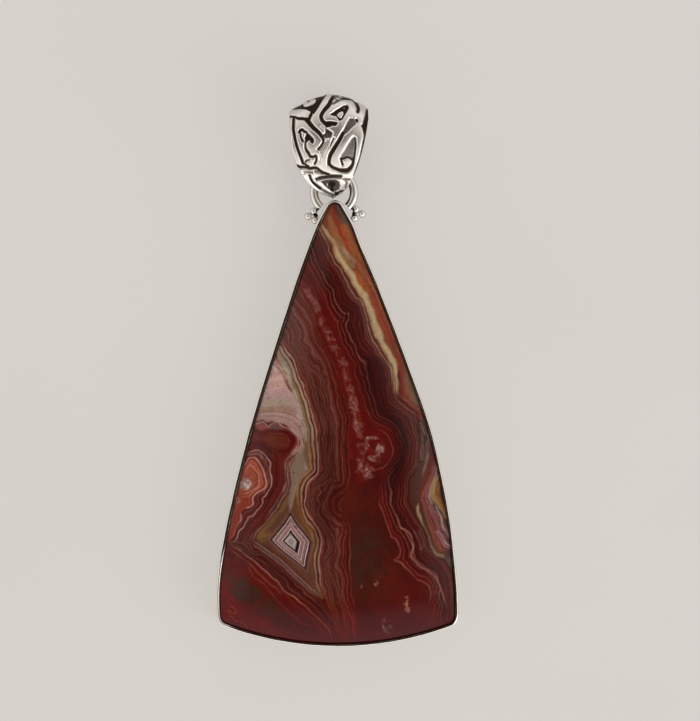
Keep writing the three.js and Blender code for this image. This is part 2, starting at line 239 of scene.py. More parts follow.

# %% [markdown]
# ## Finishes
#
# Each finish starts from what the real one is. Polished agate is glass-smooth quartz: its colour lies in the
# stone, and the shader adds only what is too fine for the mesh, such as the grain of the quartz, iron specks
# and pale glints painted on the facets of its clear grains. The silver is all one metal. What differs is the
# last tool that touched it: a burnisher on the bezel, a polishing mop on wire and granules, emery paper on
# the plate, and the sulphur bath in the bail's hollows.

# %% Polished crazy lace agate
QUARTZ_GRAIN, QUARTZ_DARK, QUARTZ_PALE = 0.16 * MM, 0.84, 1.16
IRON_SPECK, IRON_FROM, IRON_TO, IRON_DEPTH = 0.45 * MM, 0.62, 0.74, 0.45
FACET, FACET_GLINT_PAINT = 0.34 * MM, 0.1
POLISH, POLISH_WORN = 0.1, 0.17
HAND_WAVE, HAND_WAVE_HEIGHT = 4 * MM, 0.05 * MM
agate, tree, place = new_material("polished_crazy_lace_agate")
layers = add(tree, "ShaderNodeAttribute", attribute_name="lace").outputs["Color"]
clear = add(tree, "ShaderNodeAttribute", attribute_name="sugar").outputs["Fac"]
quartz = noise(tree, place, QUARTZ_GRAIN, 3.0, 0.65)
grains = remap(tree, quartz, 0.3, 0.7, QUARTZ_DARK, QUARTZ_PALE)
cloudy = add(tree, "ShaderNodeVectorMath", {0: layers, "Scale": grains}, operation="SCALE").outputs[0]
rust = remap(tree, noise(tree, place, IRON_SPECK, 2.0), IRON_FROM, IRON_TO, 0.0, IRON_DEPTH)
stained = blend(tree, rust, cloudy, "#2c100b")
# Pale spots on the facets of the clear grains are painted glints, laid into the base colour.
facet = add(tree, "ShaderNodeTexVoronoi", {"Vector": place, "Scale": 1 / FACET}).outputs["Color"]
painted_glint = maths(tree, "MULTIPLY", maths(tree, "MULTIPLY", facet, clear), FACET_GLINT_PAINT)
gloss = remap(tree, quartz, 0.3, 0.7, POLISH, POLISH_WORN)
wave = add(tree, "ShaderNodeBump", {"Height": noise(tree, place, HAND_WAVE, 1.0), "Strength": 0.15,
                                    "Distance": HAND_WAVE_HEIGHT}).outputs[0]
skin_of(tree, {"Base Color": blend(tree, painted_glint, stained, "#d8c8c2"), "Roughness": gloss, "Normal": wave,
               "IOR": 1.54, "Specular IOR Level": 0.22, "Subsurface Weight": 0.06,
               "Subsurface Scale": 0.25 * MM})
print("agate nodes", len(tree.nodes))

# %% The silver finishes
BRIGHT_SILVER, WARM_SILVER, SULPHIDE = "#dedbd6", "#cfc9c1", "#29201a"
WARM_CLOUD = 1.2 * MM
UNEVEN = 0.1


def silver(name, attribute, clean_from, clean_to, smooth, dull, scratch, scratch_depth, tarnish=SULPHIDE):
    """Silver that is clean where a stored number is past clean_from to clean_to, and blackened below it."""
    material, tree, place = new_material(name)
    fine = noise(tree, place, scratch, 3.0)
    worn = add(tree, "ShaderNodeAttribute", attribute_name=attribute).outputs["Fac"]
    uneven = remap(tree, fine, 0.0, 1.0, -UNEVEN, UNEVEN)
    clean = remap(tree, maths(tree, "ADD", worn, uneven), clean_from, clean_to,
                  interpolation_type="SMOOTHSTEP")
    metal = blend(tree, noise(tree, place, WARM_CLOUD, 2.0), BRIGHT_SILVER, WARM_SILVER)
    rough = maths(tree, "ADD", remap(tree, clean, 0.0, 1.0, dull, smooth), uneven, use_clamp=True)
    relief = add(tree, "ShaderNodeBump", {"Height": fine, "Strength": 0.3, "Distance": scratch_depth})
    skin_of(tree, {"Base Color": blend(tree, clean, tarnish, metal), "Roughness": rough,
                   "Normal": relief.outputs[0], "Metallic": 1.0})
    return material


# Cast sterling: mopped bright on the scrolls, sulphide left in the hollows.
cast_silver = silver("cast_sterling_oxidised", "height", 0.12, 0.74, 0.24, 0.5, 0.3 * MM, 0.02 * MM,
                     "#30241c")
# Fine silver strip: burnished on its outer corner, coloured dark along the seam, with a painted highlight
# line in the dark.
burnished = silver("burnished_fine_silver", "clean", 0.35, 0.75, 0.22, 0.45, 0.4 * MM, 0.02 * MM, "#33261f")
# Rolled sterling sheet, rubbed with fine emery paper.
satin = silver("satin_sterling_sheet", "clean", -0.5, -0.4, 0.42, 0.42, 0.12 * MM, 0.02 * MM)
# Drawn wire and melted balls, mopped bright, with shade painted dark round their joints.
polished_wire = silver("polished_sterling_wire", "clean", 0.2, 0.6, 0.14, 0.4, 0.25 * MM, 0.01 * MM)
print("finishes", [m.name for m in bpy.data.materials if m.users == 0])

# %% [markdown]
# ## The pendant's outline
#
# A jeweller starts from the stone and bends a strip of fine silver round it, so one outline drives the
# stone, the bezel and the back plate. It is two long smooth sides, a small round apex, a shallow arc at the
# bottom and two tight corners. The same values shape the CAD solids. Here it is traced finely, so that no
# facet shows in the silver.

# %% Curves through points
def flow(points, steps):
    """A smooth run of points through the given ones (a Catmull-Rom spline)."""
    p = np.asarray(points, float)
    p = np.vstack([2 * p[0] - p[1], p, 2 * p[-1] - p[-2]])
    t = (np.arange(steps) / steps)[:, None]
    runs = [0.5 * (2 * b + (c - a) * t + (2 * a - 5 * b + 4 * c - d) * t ** 2
                   + (3 * b - a - 3 * c + d) * t ** 3) for a, b, c, d in zip(p, p[1:], p[2:], p[3:])]
    return np.vstack([*runs, p[-2]])


def bend(points, steps):
    """A Bezier curve through its pulls, by weights of the corner points."""
    t = np.linspace(0, 1, steps + 1)[:, None]
    n = len(points) - 1
    return sum(math.comb(n, k) * (1 - t) ** (n - k) * t ** k * np.array(p) for k, p in enumerate(points))


def along(path, share):
    """Points at these shares of a path's length."""
    run = np.concatenate([[0], np.cumsum(np.hypot(*np.diff(path, axis=0).T))])
    at = np.asarray(share) * run[-1]
    return np.stack([np.interp(at, run, path[:, 0]), np.interp(at, run, path[:, 1])], 1)


def inset(outline, distance):
    """The outline moved inwards, or outwards if the distance is negative."""
    run = np.roll(outline, -1, 0) - np.roll(outline, 1, 0)
    run /= np.hypot(*run.T)[:, None]
    return outline + distance * np.stack([-run[:, 1], run[:, 0]], 1)


def at_height(outline, z):
    """The outline's points, all at one height."""
    return np.column_stack([outline, np.full(len(outline), z)])

# %% The outline, in millimetres
LEFT_SIDE = [(-1.46, 20.68), (-2.78, 18.17), (-3.89, 15.3), (-5.44, 10.8), (-7.39, 4.8), (-9.3, -1.2),
             (-11.08, -7.2), (-12.63, -13.2), (-13.99, -19.2), (-14.8, -23.7), (-15.16, -27.45),
             (-15.14, -30.2)]
RIGHT_SIDE = [(0.73, 20.68), (2.11, 18.17), (3.2, 15.3), (5.08, 10.8), (7.42, 4.8), (9.65, -1.2),
              (11.71, -7.2), (13.14, -13.2), (14.22, -19.2), (14.73, -23.7), (15.06, -27.45),
              (15.14, -30.2)]
APEX_PULLS = [(0.25, 21.5), (-0.95, 21.5)]
ARC_CENTRE, ARC_RADIUS, ARC_HALF_WIDTH = (0.06, 6.1), 40.7, 14.25
CORNER_LEFT, CORNER_RIGHT = (-15.12, -31.65), (15.16, -31.6)
OUTLINE_STEP = 0.25

arc_half = math.asin(ARC_HALF_WIDTH / ARC_RADIUS)
angles = np.linspace(-arc_half, arc_half, 121)
bottom = np.stack([ARC_CENTRE[0] + ARC_RADIUS * np.sin(angles),
                   ARC_CENTRE[1] - ARC_RADIUS * np.cos(angles)], 1)
left, right = flow(LEFT_SIDE, 12), flow(RIGHT_SIDE, 12)
loop = np.vstack([left, bend([left[-1], CORNER_LEFT, bottom[0]], 12)[1:], bottom[1:-1],
                  bend([bottom[-1], CORNER_RIGHT, right[-1]], 12), right[::-1][1:-1],
                  bend([right[0], *APEX_PULLS, left[0]], 24)[:-1]])
whole = np.vstack([loop, loop[:1]])
length = np.hypot(*np.diff(whole, axis=0).T).sum()
OUTLINE = along(whole, np.linspace(0, 1, round(length / OUTLINE_STEP) + 1)[:-1])
print("outline mm", round(length, 2), "points", len(OUTLINE))

# %% [markdown]
# ## The cabochon's form
#
# A cabochon has a flat back, an upright girdle that the bezel holds, and a dome that is ground and polished
# by hand. Its lace is painted into the mesh's points further on, so the mesh must be as fine as the finest
# line, about a tenth of a millimetre. Rows of points run across the stone, from its apex to its bottom arc,
# and a zip of triangles joins each row to the next. That keeps every triangle the same size, which no
# stretched grid would do on so long a triangle.

# %% Rows of points across the cabochon
STONE_INSET = 0.36
POINT_SPACING, ROW_SPACING = 0.094, 0.124
ON_ARC = 0.99999


def arc_at(x):
    """The height of the stone's bottom arc."""
    return ARC_CENTRE[1] - np.sqrt((ARC_RADIUS - STONE_INSET) ** 2 - (x - ARC_CENTRE[0]) ** 2)


edge = inset(OUTLINE, STONE_INSET)
edge = np.roll(edge, -int(edge[:, 1].argmax()), 0)
edge_top = edge[0, 1]
arc_low = arc_at(edge[:, 0])
down = (edge_top - edge[:, 1]) / (edge_top - arc_low)
first_low = int(np.argmax(down > ON_ARC))
last_low = len(edge) - 1 - int(np.argmax(down[::-1] > ON_ARC))
left_chain, right_chain = slice(0, first_low + 1), slice(last_low, len(edge))
left_down, left_x = down[left_chain], edge[left_chain, 0]
right_down, right_x = down[right_chain][::-1], edge[right_chain, 0][::-1]
row_count = round((edge_top - arc_low[first_low:last_low].min()) / ROW_SPACING)
rows, points = [], []
for share in np.linspace(0, 1, row_count + 1):
    a = np.interp(share, left_down, left_x)
    b = np.interp(share, np.append(0, right_down), np.append(edge[0, 0], right_x))
    count = max(1, round((b - a) / POINT_SPACING))
    x = np.linspace(a, b, count + 1) if b - a > 1e-6 else np.array([a])
    rows.append(np.arange(len(x)) + sum(map(len, rows)))
    points.append(np.stack([x, edge_top - share * (edge_top - arc_at(x))], 1))
flat = np.vstack(points)
print("rows", len(rows), "points on the dome", len(flat))

# %% A zip of triangles between each row and the next
faces = []
for upper, lower in zip(rows, rows[1:]):
    i = k = 0
    n, m = len(upper) - 1, len(lower) - 1
    while i < n or k < m:
        if k == m or (i < n and (i + 1) / max(n, 1) <= (k + 1) / max(m, 1)):
            faces.append((upper[i], lower[k], upper[i + 1]))
            i += 1
        else:
            faces.append((upper[i], lower[k], lower[k + 1]))
            k += 1
print("triangles on the dome", len(faces))

# %% The dome, the girdle and the flat back
STONE_FOOT, GIRDLE_TOP = 0.64, 4.02
BACK_CENTRE = (0, -12)
DOME_HEIGHT, DOME_WIDTH, DOME_CURVE = 1.07, 6.5, 2.2
SIDES_MEET = 5.0


def gap_to(spots, path):
    """Distance from each spot to a path, and the share of the path where that is."""
    best, where = np.full(len(spots), 1e9), np.zeros(len(spots))
    for k, (a, b) in enumerate(zip(path[:-1], path[1:])):
        span = b - a
        t = np.clip((spots - a) @ span / (span @ span), 0, 1)
        gap = np.hypot(*(spots - a - t[:, None] * span).T)
        where = np.where(gap < best, (k + t) / (len(path) - 1), where)
        best = np.minimum(best, gap)
    return best, where


# The gaps to the three sides are joined softly, so the dome has no ridge where two sides meet.
sides = [edge[left_chain], np.vstack([edge[right_chain], edge[0]]), edge[first_low:last_low + 1]]
to_edge = sum((gap_to(flat, side)[0] + 1e-6) ** -SIDES_MEET for side in sides) ** (-1 / SIDES_MEET)
swell = 1 - (1 - np.minimum(to_edge / DOME_WIDTH, 1)) ** DOME_CURVE
stone_top = np.column_stack([flat, GIRDLE_TOP + DOME_HEIGHT * swell])
rim = [*(row[0] for row in rows), *rows[-1][1:], *(row[-1] for row in rows[-2:0:-1])]
foot = [len(flat) + i for i in range(len(rim))]
stone_points = np.vstack([stone_top, at_height(flat[rim], STONE_FOOT), [[*BACK_CENTRE, STONE_FOOT]]])
last = len(stone_points) - 1
for i in range(len(rim)):
    j = (i + 1) % len(rim)
    faces += [(rim[j], rim[i], foot[i]), (rim[j], foot[i], foot[j]), (foot[j], foot[i], last)]
print("stone points", len(stone_points), "triangles", len(faces), "top mm", round(stone_top[:, 2].max(), 2))

# %% [markdown]
# ## Painting the lace
#
# Agate grows inwards from the walls of a hollow in the rock, one thin layer of quartz after another. A cut
# across it shows each layer as a line, and every line follows its neighbour, as tree rings do. So the lace
# isn't drawn line by line. A few guides are named and placed where the eye catches a shape, and a point
# between two guides gets its layer from its share of the way across. The paint goes into the mesh's points
# in the order that a painter keeps: grounds first, lace next, single lines last.

# %% The points to paint, and the wobble that every line of the stone shares
def grain(x, y, size, seed):
    """Smooth seeded noise from -1 to 1, its lumps `size` apart."""
    gx, gy = np.asarray(x) / size, np.asarray(y) / size
    ix, iy = np.floor(gx).astype(np.int64), np.floor(gy).astype(np.int64)
    fx, fy = gx - ix, gy - iy
    fx, fy = fx * fx * (3 - 2 * fx), fy * fy * (3 - 2 * fy)

    def corner(i, j):
        h = (i * 374761393 + j * 668265263 + seed * 69069 + 12345) & 0xFFFFFFFF
        h = ((h ^ (h >> 13)) * 1274126177) & 0xFFFFFFFF
        return ((h ^ (h >> 16)) & 0xFFFF) / 32767.5 - 1

    low = corner(ix, iy) * (1 - fx) + corner(ix + 1, iy) * fx
    high = corner(ix, iy + 1) * (1 - fx) + corner(ix + 1, iy + 1) * fx
    return low * (1 - fy) + high * fy


def ease(start, end, value):
    """0 before start, 1 after end and a smooth slope between."""
    t = np.clip((value - start) / (end - start), 0, 1)
    return t * t * (3 - 2 * t)


LONG_WAVE, SHORT_WAVE = 11, 6
spot = to_pixels(flat)
spot_x, spot_y = spot.T
wobble_x = 0.9 * grain(spot_x, spot_y, LONG_WAVE, 1) + 0.8 * grain(spot_x, spot_y, SHORT_WAVE, 2)
wobble_y = 0.8 * grain(spot_x, spot_y, LONG_WAVE, 3) + 0.6 * grain(spot_x, spot_y, SHORT_WAVE, 4)
paint = np.zeros((len(spot), 3))
sugar = np.zeros(len(spot))
print("wobble in pixels", round(float(np.abs(wobble_x).max()), 2), round(float(np.abs(wobble_y).max()), 2))

# %% Painter's tools: strokes, patches and fields
def laid(wave=1.0):
    """The points in pixels, moved by the wobble."""
    return spot_x + wave * wobble_x, spot_y + wave * wobble_y


def lay(pick, colour, amount):
    """Paint laid over the points picked, as strong as amount says."""
    amount = np.clip(amount, 0, 1)[:, None]
    paint[pick] = paint[pick] * (1 - amount) + (tint(colour) if isinstance(colour, str) else colour) * amount


def near(path, reach, wave=1.0):
    """Points within reach of a path, their distance (minus on its left) and their share of its length."""
    path = path if isinstance(path, np.ndarray) else flow(path, 5)
    (x, y), low, high = laid(wave), path.min(0) - reach, path.max(0) + reach
    pick = np.nonzero((x > low[0]) & (x < high[0]) & (y > low[1]) & (y < high[1]))[0]
    x, y = x[pick], y[pick]
    best, side, share = np.full(len(pick), 1e9), np.ones(len(pick)), np.zeros(len(pick))
    run = np.concatenate([[0], np.cumsum(np.hypot(*np.diff(path, axis=0).T))])
    for k, (a, b) in enumerate(zip(path[:-1], path[1:])):
        dx, dy = b - a
        t = np.clip(((x - a[0]) * dx + (y - a[1]) * dy) / (dx * dx + dy * dy + 1e-12), 0, 1)
        gap = (x - a[0] - t * dx) ** 2 + (y - a[1] - t * dy) ** 2
        closer = gap < best
        best = np.where(closer, gap, best)
        side = np.where(closer, np.where(dx * (y - a[1]) < dy * (x - a[0]), -1, 1), side)
        share = np.where(closer, (run[k] + t * (run[k + 1] - run[k])) / run[-1], share)
    return pick, np.sqrt(best) * side, share


def stroke(path, half, colour, soft=0.7, amount=1.0, ends=0.1, shift=0.0):
    """A band along a path, half as wide as `half`, which may be several numbers spread along it.

    It lies `shift` to the right of the path, and fades over the share `ends` of its length.
    """
    halves = np.atleast_1d(half).astype(float)
    pick, gap, share = near(path, halves.max() + soft + abs(shift) + 1)
    reach = np.interp(share, np.linspace(0, 1, len(halves)), halves)
    fade = ease(0, ends, share) * ease(0, ends, 1 - share) if ends else 1
    reach = reach * (0.4 + 0.6 * fade) * (1 + 0.2 * grain(spot_x[pick], spot_y[pick], 5, 77))
    worn = 1 - 0.3 * ease(0, 1, grain(spot_x[pick], spot_y[pick], 9, 78))
    lay(pick, colour, amount * fade * worn * (1 - ease(reach - soft, reach + soft, np.abs(gap - shift))))


def lines(path, rows, soft=0.6, amount=0.9, ends=0.1):
    """Thin lines of one growth, beside one path: how far from it, half width and colour of each."""
    for shift, half, code in rows:
        stroke(path, half, code, soft, amount, ends, shift)


def oval(centre, half_sizes, turned):
    """How far out of an oval each point lies: 0 in its centre and 1 on its edge."""
    c, s = math.cos(math.radians(turned)), math.sin(math.radians(turned))
    x, y = laid()
    dx, dy = x - centre[0], y - centre[1]
    return np.hypot((dx * c + dy * s) / half_sizes[0], (-dx * s + dy * c) / half_sizes[1])


def patch(centre, half_sizes, colour, amount=1.0, soft=0.5, turned=0, rough=0.3, seed=9, broken=0.0):
    """A soft-edged patch with a ragged outline, and with gaps in it where it is broken."""
    r = oval(centre, half_sizes, turned) + rough * grain(spot_x, spot_y, 7, seed)
    gaps = ease(-0.3, 0.9, grain(spot_x, spot_y, 6, seed + 50) + 0.6 * grain(spot_x, spot_y, 2.5, seed + 51))
    lay(slice(None), colour, amount * (1 - broken * gaps) * (1 - ease(1 - soft, 1 + soft, r)))


def within(x, y, ring):
    """Which points lie inside a closed path, by how often a level line from each crosses it."""
    inside = np.zeros(len(x), bool)
    for (ax, ay), (bx, by) in zip(ring[:-1], ring[1:]):
        crosses = (ay > y) != (by > y)
        inside ^= crosses & (x < (bx - ax) * (y - ay) / (by - ay + 1e-12) + ax)
    return inside


def field(points, colour, soft=1.0, amount=1.0, wave=1.0):
    """A whole region inside a closed path, which runs smooth through a list and straight through an array."""
    straight = isinstance(points, np.ndarray)
    path = np.vstack([points, points[:1]]) if straight else flow([*points, points[0]], 5)
    inside = within(*laid(wave), path)
    pick, gap, _ = near(path, soft + 1, wave)
    signed = np.where(inside, 1e3, -1e3)
    signed[pick] = np.where(inside[pick], 1, -1) * np.abs(gap)
    lay(slice(None), colour, amount * ease(-soft, soft, signed))


def tell(step):
    """Prints how bright and how red the whole paint is after a step."""
    print(step, "brightness", round(float(paint.mean()), 3), "red", round(float(paint[:, 0].mean()), 3))

# %% The lace between two guides
FINEST = 0.47
WIDEST = 75
CRINKLE_STEP = 30


def between(left, right):
    """The points between two guides that run the same way, the gap to each, and the share of the way down."""
    a_pick, a, a_share = near(left, WIDEST)
    b_pick, b, b_share = near(right, WIDEST)
    table = np.full((4, len(spot)), np.nan)
    table[0, a_pick], table[1, b_pick], table[2, a_pick], table[3, b_pick] = a, b, a_share, b_share
    table[2:][(table[2:] <= 0) | (table[2:] >= 1)] = np.nan
    pick = np.nonzero(np.isfinite(table).all(0) & (np.sign(table[0]) != np.sign(table[1])))[0]
    return pick, np.abs(table[0, pick]), np.abs(table[1, pick]), table[2:, pick].mean(0)


def lace(left, right, count, grounds, line, seed, contrast=0.6, edge=1.2, dark=0.3, layers=0.2, haze=None):
    """Nested layers between two guides. `grounds` are the colours from left to right, under all lines.

    `haze` is a colour that lies over the start of the lace and is gone half way down.
    """
    rng = np.random.default_rng(seed)
    pick, a, b, down = between(left, right)
    u = a / (a + b + 1e-9)
    run = down * np.hypot(*np.diff(np.array(left), axis=0).T).sum() / CRINKLE_STEP
    shades = np.array([tint(code) for code in grounds])
    colour = np.stack([np.interp(u, np.linspace(0, 1, len(shades)), shades[:, k]) for k in range(3)], 1)
    # All layers crinkle together, most in the middle between the guides.
    crinkle = (1.15 * grain(run * 1.9, u * count * 0.25, 1, seed + 3)
               + 0.5 * grain(run * 4.3, u * count * 0.3, 1, seed + 4))
    u = u + crinkle / count * np.sin(np.pi * np.clip(u, 0, 1))
    # Broad lighter and darker layers first, then the lines, each with its shadow beside it.
    levels = rng.uniform(-1, 1, count * 2)
    colour *= 1 + layers * np.interp(u, np.linspace(0, 1, len(levels)), levels)[:, None]
    for k in range(count):
        at = (k + rng.uniform(-0.1, 1.1)) / count + 0.1 / count * grain(run, k * 7.3, 1, seed)
        wide, strength = rng.uniform(0.08, 0.16) / count, 0.25 + 1.1 * rng.uniform() ** 1.6
        strength = strength * (0.72 + 0.28 * grain(run * 0.8, k * 3.1, 1, seed + 2))
        shadow = np.exp(-((u - at - 0.3 / count) / (0.16 / count)) ** 2)
        colour *= 1 - dark * rng.uniform(0.4, 1) * shadow[:, None]
        glow = contrast * strength * np.exp(-((u - at) / np.maximum(wide, FINEST / (a + b + 1e-9))) ** 2)
        colour += (tint(line) - colour) * glow[:, None]
    if haze:
        veil = 0.33 * (1 - ease(0.15, 0.4, down)) * (0.6 + 0.4 * np.cos(u * 40))
        colour += (tint(haze) - colour) * veil[:, None]
    colour *= 1 + 0.06 * grain(run * 3, u * count * 3, 1, seed + 1)[:, None]
    ends = ease(0, 0.08, np.minimum(down, 1 - down))
    lay(pick, colour, ends * ease(0, edge, np.minimum(a, b)))

# %% Guides, placed in pixels of the photograph
OCHRE_EDGE = [(245, 262), (258, 300), (270, 326), (282, 347), (291, 359), (295, 369), (299, 380),
              (304, 392), (309, 407), (313, 420), (315, 432), (316, 447), (317.5, 460), (317, 471),
              (308, 480), (303.5, 493), (304, 508), (311, 521), (319, 532), (320.5, 545), (317, 558),
              (318, 571), (322, 590), (326, 602), (334, 622), (343, 642), (348, 655)]
SEAM = [(272, 226), (285, 258), (298, 284), (306, 298), (313, 312), (319, 328), (325, 343), (332, 357),
        (338, 372), (342, 388), (347, 403), (350, 420), (350, 440), (350, 460), (350, 477), (348, 487),
        (342, 492), (338, 498), (337, 504), (339, 511), (344, 516), (349, 522), (350, 532), (351, 560),
        (352, 590), (356, 612), (362, 634), (367, 655)]
SPINE_RIGHT = [(262, 170), (282, 216), (299, 250), (311, 278), (322, 302), (332, 324), (340, 345),
               (348, 365), (354, 385), (361, 403), (366, 418), (374, 427), (384, 431), (390, 437),
               (393, 447), (390, 458), (384, 467), (379, 475), (378, 493), (380, 505), (385, 518),
               (389, 528), (391, 536), (395, 539), (399, 545), (401, 550), (399, 557), (395, 560),
               (401, 562), (405, 567), (411, 572), (417, 578), (424, 581), (428, 585), (430, 593),
               (429, 601), (431, 609), (430, 620), (433, 650)]
CREAM_LEFT = [(300, 190), (310, 211), (321, 233), (326, 242), (331, 254), (336, 264), (341, 270),
              (346, 281), (351, 291), (355, 297), (360, 300), (364, 307), (367, 318), (369, 331),
              (376, 345), (383, 357), (390, 368), (391, 380), (392, 394), (397, 402), (406, 409),
              (414, 417), (418, 430), (419, 445), (418, 460), (414, 472), (409, 481), (408, 491),
              (409, 500), (412, 508), (417, 517), (422, 526), (426, 537), (429, 548), (438, 555),
              (446, 565), (452, 578), (456, 605), (457, 640)]
CREAM_RIGHT = [(326, 225), (328, 231), (333, 242), (337.5, 253), (343, 264), (349.5, 272), (355, 283),
               (361, 292), (367, 302), (371, 311), (374, 321), (377, 330), (382, 342), (388, 353),
               (393, 364), (395, 380), (396, 392), (398, 400)]
RIGHT_EDGE = [(344, 210), (352, 228), (362, 250), (372, 272), (383, 300), (393, 325), (403, 350),
              (413, 378), (423, 405), (431, 430), (438, 455)]
V_OUTLINE = [(287, 455), (284, 462), (284, 475), (285, 483), (283, 490), (279, 498), (275, 506), (268, 514),
             (262, 521), (257, 527), (253, 534), (251, 541), (257, 547), (270, 556), (283, 566), (296, 578),
             (308, 589), (317, 597), (324, 602)]
EYE_OUTER = [(240, 454), (248, 452), (253, 450), (258, 450.5), (263, 454), (268, 458.5), (270, 465),
             (270, 472), (272, 480), (270, 488), (266, 494), (262, 498), (263, 502), (260, 507), (256, 511),
             (252, 515), (247, 517), (247, 520), (244, 527), (240, 531), (238, 537), (234, 541), (226, 544)]
EYE_INNER = [(240, 474), (243, 468), (246, 462), (249, 458.5), (254, 457.5), (260, 461), (263, 467),
             (265, 475), (266, 482), (264, 488), (260, 491), (255, 495), (253, 499), (253, 504), (248, 508),
             (243, 508), (240, 511), (241, 515), (241, 520), (238, 524), (235, 528), (234, 533), (231, 538),
             (228, 542)]
LOBE = [(248, 427), (256, 425), (262, 423), (267, 425), (269, 427), (272, 423.5), (277, 422), (283, 425.5),
        (289, 428.5), (295, 433), (298, 440), (297, 447), (292, 453), (287, 456)]
LOW_LEFT_LINE = [(226, 542), (238, 549), (245, 554), (251, 558), (257, 564), (263, 569), (268, 573),
                 (273, 578), (279, 583), (284, 590), (289, 594), (297, 598), (304, 604), (310, 610),
                 (318, 617), (325, 624), (330, 633), (336, 646)]
DIAMOND = [(290.6, 516.6), (294.2, 522.6), (298.9, 528.6), (304, 534.6), (309, 541.3), (307.4, 549.5),
           (305.4, 558), (304.3, 566), (296.5, 559.5), (288, 553.2), (280.5, 547), (273, 539.6),
           (279.3, 532), (285.5, 524.5)]
GUIDES = (OCHRE_EDGE, SEAM, SPINE_RIGHT, CREAM_LEFT, CREAM_RIGHT, RIGHT_EDGE, V_OUTLINE, EYE_OUTER, EYE_INNER,
          LOBE, LOW_LEFT_LINE, DIAMOND)
print("guides", len(GUIDES), "points", sum(map(len, GUIDES)))

# %% [markdown]
# ## Grounds and lace
#
# Iron gives the quartz its red. Under all the lines lies one dark ground with redder and greyer clouds, and
# over it run two sweeps of lace, one on each side of the spine. The clouds are laid first, because a line
# keeps its edge only over a ground that is already there.

# %% The grounds
lay(slice(None), "#48150f", np.ones(len(spot)))
stroke([(340, 500), (352, 560), (366, 655)], 22, "#4a1b14", soft=12, ends=0)
patch((400, 600), (75, 60), "#4b1913", soft=0.4)
patch((366, 580), (20, 80), "#461a14", soft=0.5)
patch((366, 560), (18, 38), "#3a241f", 0.75, broken=0.6, seed=15)
patch((378, 618), (38, 26), "#47231c", 0.6, broken=0.5, seed=16)
patch((400, 590), (30, 30), "#551d14", 0.5, broken=0.7, seed=17)
patch((425, 520), (40, 60), "#3c1511", 0.5)
patch((250, 590), (45, 30), "#571a10", soft=0.5, turned=30)
patch((233, 598), (14, 30), "#61180d", 0.7)
patch((262, 628), (34, 9), "#5c180e", 0.7, turned=14)
patch((248, 594), (28, 11), "#3b2a25", 0.9, turned=38, seed=11, broken=0.7)
patch((275, 611), (24, 11), "#3f2722", 0.9, turned=32, seed=12, broken=0.7)
patch((298, 627), (20, 8), "#42231e", 0.8, turned=25, seed=13, broken=0.6)
patch((224, 604), (9, 26), "#5e1a10", 0.7)
patch((350, 640), (110, 9), "#501b13", 0.7)
patch((428, 600), (30, 34), "#4d180f", 0.8)
tell("grounds")

# %% The lace on both sides of the spine
lace(SEAM[:18], SPINE_RIGHT[:18], 5, ["#5a1a11", "#54160d", "#52150c", "#4e140d"], "#7a4640", 41,
     contrast=0.45, dark=0.2)
lace(OCHRE_EDGE, SEAM, 11,
     ["#6b3b32", "#58271f", "#5b312b", "#50211a", "#592d27", "#4a1a14", "#521c15", "#5c1e12"], "#8c5b51", 3,
     contrast=0.7, haze="#93706a")
lace(SPINE_RIGHT, CREAM_LEFT, 12,
     ["#53170f", "#45110b", "#4a140e", "#3b0f0b", "#451510", "#3c1411", "#4e2820"], "#8a5146", 8,
     contrast=0.72, layers=0.3)
tell("lace on both sides of the spine")

# %% [markdown]
# ## The seam and the spine
#
# Where growth from two walls met, a seam is left, and half rings on it are a small eye that the saw only
# grazed. The spine beside it is red jasper with a string of clear quartz grains. It could be a line of
# patches, but one path with strokes of several widths keeps its grain running the same way.

# %% Half rings on the seam, where a small eye was cut through its middle
patch((344, 504), (15, 18), "#4c1b15", 0.85, soft=0.35, rough=0.05)
for radius, code, half in [(6.5, "#5f2c25", 0.9), (9.5, "#3c1512", 0.7), (13, "#633029", 0.7),
                           (16.5, "#3e1613", 0.8), (20, "#6a3a32", 0.7), (23.5, "#40191a", 0.8)]:
    ring = [(346 - radius * math.sin(a) * 1.05, 504 - radius * math.cos(a))
            for a in np.linspace(0.1, 3.04, 11)]
    stroke(ring, half, code, 0.6, 0.8, ends=0.08)
tell("half rings on the seam")

# %% The spine: red jasper with a string of quartz grains
def crystals(centre, half_sizes, colour, seed, size=1.7, turned=0, amount=0.9):
    """Grains of clear quartz, where a hollow closed last. The material paints pale glints on them."""
    inside = 1 - ease(0.6, 1.2, oval(centre, half_sizes, turned))
    speck = grain(spot_x, spot_y, size, seed) + 0.6 * grain(spot_x, spot_y, size / 2, seed + 1)
    clump = 0.45 * grain(spot_x, spot_y, size * 3, seed + 2)
    lay(slice(None), colour, amount * inside * ease(-0.1, 0.8, speck + clump))
    sugar[:] = np.maximum(sugar, inside * ease(-0.2, 0.4, clump))


